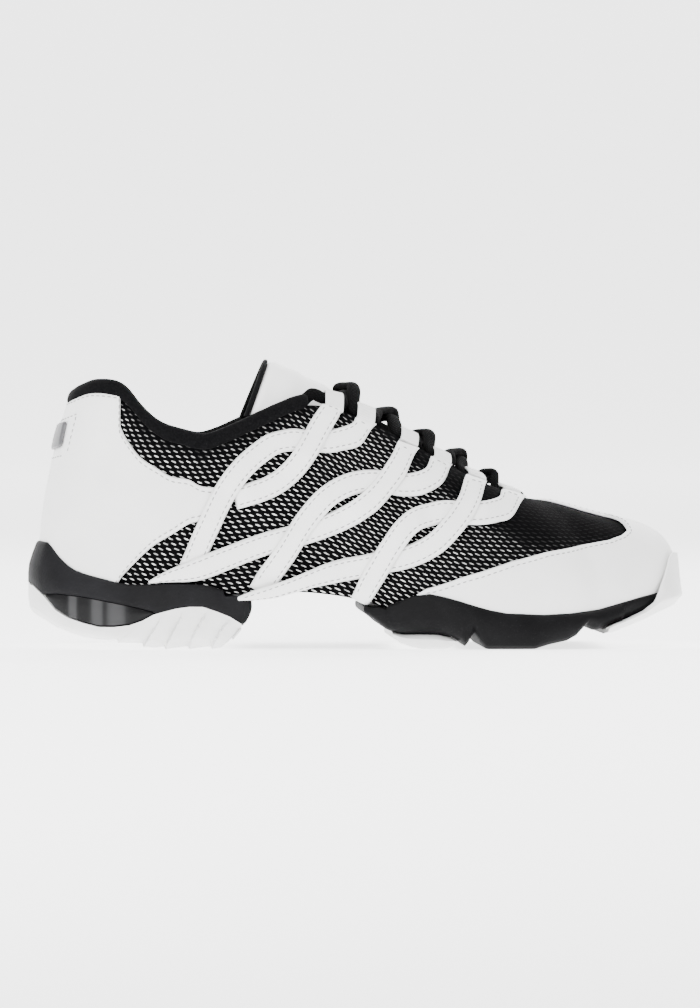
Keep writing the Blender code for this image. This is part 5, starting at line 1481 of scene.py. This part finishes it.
def build_tongue():
    """Padded tongue with a white face and a black back, and the binding on its top edge."""
    rows_at = np.linspace(0, len(TONGUE_ROWS) - 1, 121)
    shares = np.linspace(-1, 1, 41)
    surface = tongue_surface(rows_at, shares)
    down = np.gradient(surface, axis=0)
    over = np.gradient(surface, axis=1)
    normal = np.cross(over, down)
    normal = normal / np.linalg.norm(normal, axis=2, keepdims=True)
    normal = normal * np.sign(normal[60, 20, 2])
    roll = np.clip(gaps_to_edge(surface) / 0.0035, 0, 1)[..., None]
    roll = np.sqrt(1 - (1 - roll)**2)
    waves = 0.00022 * np.sin(rows_at * 5.2)[:, None, None] * (1 - shares[None, :, None]**2)
    top = surface - normal * TONGUE_WALL * 0.45 * (1 - roll) + (normal * 0.0006 + normal * waves) * roll
    bottom = surface - normal * TONGUE_WALL * (0.55 + 0.45 * roll)
    points = [*bottom.reshape(-1, 3), *top.reshape(-1, 3)]
    faces = slab_faces(121, 41)
    choose = [1] * (120 * 40) + [0 if row < 37 else 1 for row in range(120) for column in range(40)]
    choose += [0] * (len(faces) - len(choose))
    made = face_out(lay("tongue_pad", points, faces, [LEATHER, LINING], choose))
    settle(made, "white_synthetic", "tongue")

    shares = np.linspace(-1, 1, 61)
    rows = tongue_surface([0.0, 0.4], shares)
    back = rows[0] - rows[1]
    back = back / np.linalg.norm(back, axis=1, keepdims=True)
    middle = rows[0] + back * (BINDING / 2 + GAP * 1.5)
    middle = middle - np.array([0, 0, 1.0]) * TONGUE_WALL * 0.4
    settle(tube("tongue_binding_tape", middle, back, BINDING, TONGUE_WALL, 16, BLACK_TAPE), "lining",
           "tongue_binding")


def tube(name, middles, wides, width, thickness, sides, finish, fullness=1.0):
    """Oval tube along a path; each station has the direction of its wide side."""
    middles, wides = np.asarray(middles), np.asarray(wides)
    runs = np.gradient(middles, axis=0)
    angles = np.arange(sides) * 2 * np.pi / sides
    widths = np.broadcast_to(width, len(middles))
    length = np.concatenate([[0], np.cumsum(np.linalg.norm(np.diff(middles, axis=0), axis=1))])
    rings, pattern = [], []
    for middle, run, wide, width, along in zip(middles, runs, wides, widths, length):
        run = run / np.linalg.norm(run)
        wide = wide - run * np.dot(wide, run)
        wide = wide / np.linalg.norm(wide)
        thin = np.cross(run, wide)
        flat = np.sign(np.cos(angles)) * np.abs(np.cos(angles))**fullness
        rings.append([middle + wide * c * width / 2 + thin * np.sin(a) * thickness / 2
                      for a, c in zip(angles, flat)])
        pattern += [(along, k / sides * (width + thickness) * 2) for k in range(sides)]
    return loft(name, rings, [finish], pattern=pattern)


def build_loops():
    """Webbing loops on the throat edge, each a flat tape bent round the lace."""
    profile = ((0.40, -0.42), (0.42, 0.30), (0.18, 0.88), (-0.35, 1.06), (-0.74, 0.85), (-0.80, 0.3),
               (-0.45, -0.1))
    widths = np.concatenate([[-1, -0.97, -0.9], np.linspace(-0.75, 0.75, 7), [0.9, 0.97, 1]])
    for number in range(len(LOOP_ALONG)):
        for side, word in ((OUTER, "lateral"), (INNER, "medial")):
            edge, outward, climb, forward = loop_frame(number, side)
            start = edge + climb * LOOP_CLEAR
            order, pattern = [], []
            for inset, way in ((0.0, 1), (WEBBING_THICKNESS, -1)):
                for share in widths[::way]:
                    thin = 0.35 * max(0.0, (abs(share) - 0.85) / 0.15)**2 * WEBBING_THICKNESS
                    depth = inset + (thin if inset == 0 else -thin)
                    scale_out = 1 - 2 * depth / LOOP_DEEP
                    scale_up = 1 - 2 * depth / LOOP_TALL
                    ring = []
                    for out, up in profile:
                        out = -0.28 + (out + 0.28) * scale_out
                        up = 0.5 + (up - 0.5) * scale_up
                        ring.append(start + outward * out * LOOP_DEEP + climb * up * LOOP_TALL
                                    + forward * share * WEBBING * 0.56)
                    ring = rounded_line(ring, 5, True)
                    along = np.concatenate([[0], np.cumsum(np.linalg.norm(np.diff(ring, axis=0), axis=1))])
                    order.append(ring)
                    pattern += [(a, share * WEBBING / 2) for a in along]
            made = loft(f"loop_{word}_{number + 1}_tape", order, [TAPE], True, pattern)
            settle(made, "webbing", f"loop_{word}_{number + 1}")


LACE_SWELL = 1.3


def lace_route():
    """Down through the loops from the outer side, across at the front and back up again."""
    count = len(LOOP_ALONG)
    down = [(k, OUTER if k % 2 == 0 else INNER) for k in range(count)]
    back = [(k, INNER if k % 2 == 0 else OUTER) for k in range(count - 1, -1, -1)]
    route = down + back
    past_loop = WEBBING / 2 + LACE_THICKNESS / 2
    middles, wides, widths = [], [], []
    upright = np.array([0, 0, 1.0])
    for place, (number, side) in enumerate(route):
        middle, forward, climb = loop_middle(number, side)
        way = 1 if place < count else -1
        for turn in (-1, 0, 1):
            middles.append(middle + forward * way * turn * past_loop)
            wides.append(climb)
            widths.append(LACE_WIDTH * (LAST_PINCH if number == count - 1 and turn * way == -1 else 1))
        if place + 1 == len(route):
            break
        after, ahead = loop_middle(*route[place + 1])[:2]
        if place == count - 1:
            start = middles[-1] + forward * LACE_WIDTH * 0.4
            stop = after + ahead * (past_loop + LACE_WIDTH * 0.4)
            for share in (0.12, 0.35, 0.65, 0.88):
                middles.append(start + (stop - start) * share)
                wides.append(climb)
                widths.append(LACE_WIDTH)
            continue
        crown = lace_crown(middle, after)
        if place >= count:
            crown = crown + LACE_THICKNESS + LACE_CLEAR
        across_way = np.cross(upright, after - middle)
        pinch = LAST_PINCH if place in (count - 2, count) else 1
        for share in (0.3, 0.5, 0.7):
            point = middle + (after - middle) * share
            point[2] = crown - (LACE_CLEAR if abs(share - 0.5) > 0.15 else 0.0)
            middles.append(point)
            wides.append(climb if pinch < 1 else across_way / np.linalg.norm(across_way))
            widths.append(LACE_WIDTH * pinch)
    # Each end comes out behind the top loop and dips beside the tongue
    for number, side, way, end in ((0, OUTER, -1, 0), (0, INNER, -1, None)):
        middle, forward, climb = loop_middle(number, side)
        outward = top_frame(float(np.interp(LOOP_ALONG[0] / GRID_LENGTH, LAST["top_along"],
                                            LAST["around"])), side)[1]
        tail = [middle + forward * way * past_loop * 1.9 + climb * 0.0008,
                middle + forward * way * past_loop * 2.6 - climb * 0.0022 - outward * 0.002]
        for point in tail:
            if end == 0:
                middles.insert(0, point)
                wides.insert(0, climb)
                widths.insert(0, LACE_WIDTH)
            else:
                middles.append(point)
                wides.append(climb)
                widths.append(LACE_WIDTH)
    return np.array(middles), np.array(wides), np.array(widths) * LACE_SWELL


def build_lace():
    middles, wides, widths = lace_route()
    each = 6
    # The wide side keeps facing the same way from one station to the next
    for k in range(1, len(wides)):
        if np.dot(wides[k], wides[k - 1]) < 0:
            wides[k] = -wides[k]
    path = rounded_line(middles, each)
    knots = np.arange(len(middles))
    at = np.linspace(0, len(middles) - 1, len(path))
    wides = np.stack([np.interp(at, knots, wides[:, k]) for k in range(3)], -1)
    plump = 1 + 0.04 * np.sin(at * 9.0)
    made = tube("lace_braid", path, wides, np.interp(at, knots, widths) * plump,
                LACE_THICKNESS * LACE_SWELL * 1.1, 20, BRAID, 0.75)
    settle(made, "lace_cord", "lace")


build_upper()
build_counter()
build_cap()
build_straps()
build_badge()
build_heel()
build_forefoot()
build_insole()
build_collar()
build_tongue()
build_loops()
build_lace()


# Floor, light and camera
def build_stage():
    """White paper floor that curves up behind the shoe."""
    profile = [(-7.0, 0.0), (4.0, 0.0)]
    profile += [(4.0 + math.sin(t), 1.0 - math.cos(t)) for t in np.linspace(0.1, math.pi / 2, 16)]
    profile += [(5.0, 7.0)]
    points = [(x, y, z) for y, z in profile for x in (-9.0, 9.0)]
    faces = grid_faces(len(profile), 2)
    paper, tree, shader = new_finish("matt_white_paper", {"Roughness": 0.95, "Specular IOR Level": 0.1})
    shader.inputs["Base Color"].default_value = linear("#F7F7F7")
    shader.inputs["Emission Color"].default_value = linear("#FFFFFF")
    shader.inputs["Emission Strength"].default_value = 2.3
    made = lay("paper_floor", points, faces, [paper])


def soft_light(name, place, size, power, target=(0.0, 0.0, 0.04)):
    lamp = bpy.data.lights.new(name, "AREA")
    lamp.shape = "RECTANGLE"
    lamp.size, lamp.size_y = size
    lamp.energy = power
    holder = bpy.data.objects.new(name, lamp)
    bpy.context.scene.collection.objects.link(holder)
    holder.location = place
    holder.rotation_euler = (Vector(target) - Vector(place)).to_track_quat("-Z", "Y").to_euler()


def build_camera():
    azimuth, elevation, distance = math.radians(-3), math.radians(1.2), 3.0
    aim = Vector((-0.0023, 0.0, 0.0585))
    way = Vector((math.sin(azimuth) * math.cos(elevation), -math.cos(azimuth) * math.cos(elevation),
                  math.sin(elevation)))
    data = bpy.data.cameras.new("side_view")
    data.sensor_fit = "HORIZONTAL"
    data.sensor_width = 36.0
    data.lens = 374.0
    holder = bpy.data.objects.new("side_view", data)
    bpy.context.scene.collection.objects.link(holder)
    holder.location = aim + way * distance
    holder.rotation_euler = (-way).to_track_quat("-Z", "Y").to_euler()
    bpy.context.scene.camera = holder


build_stage()
soft_light("top_bank", (0.1, -0.2, 1.3), (1.6, 1.2), 30.0)
soft_light("front_left", (-0.9, -1.3, 0.7), (1.0, 0.9), 30.0)
soft_light("front_right", (1.0, -1.2, 0.45), (0.8, 0.8), 7.0)
soft_light("back_rim", (0.3, 1.1, 0.9), (1.4, 0.5), 12.0)
world = bpy.data.worlds.new("studio")
world.use_nodes = True
world.node_tree.nodes["Background"].inputs["Color"].default_value = linear("#FFFFFF")
world.node_tree.nodes["Background"].inputs["Strength"].default_value = 0.40
bpy.context.scene.world = world
build_camera()
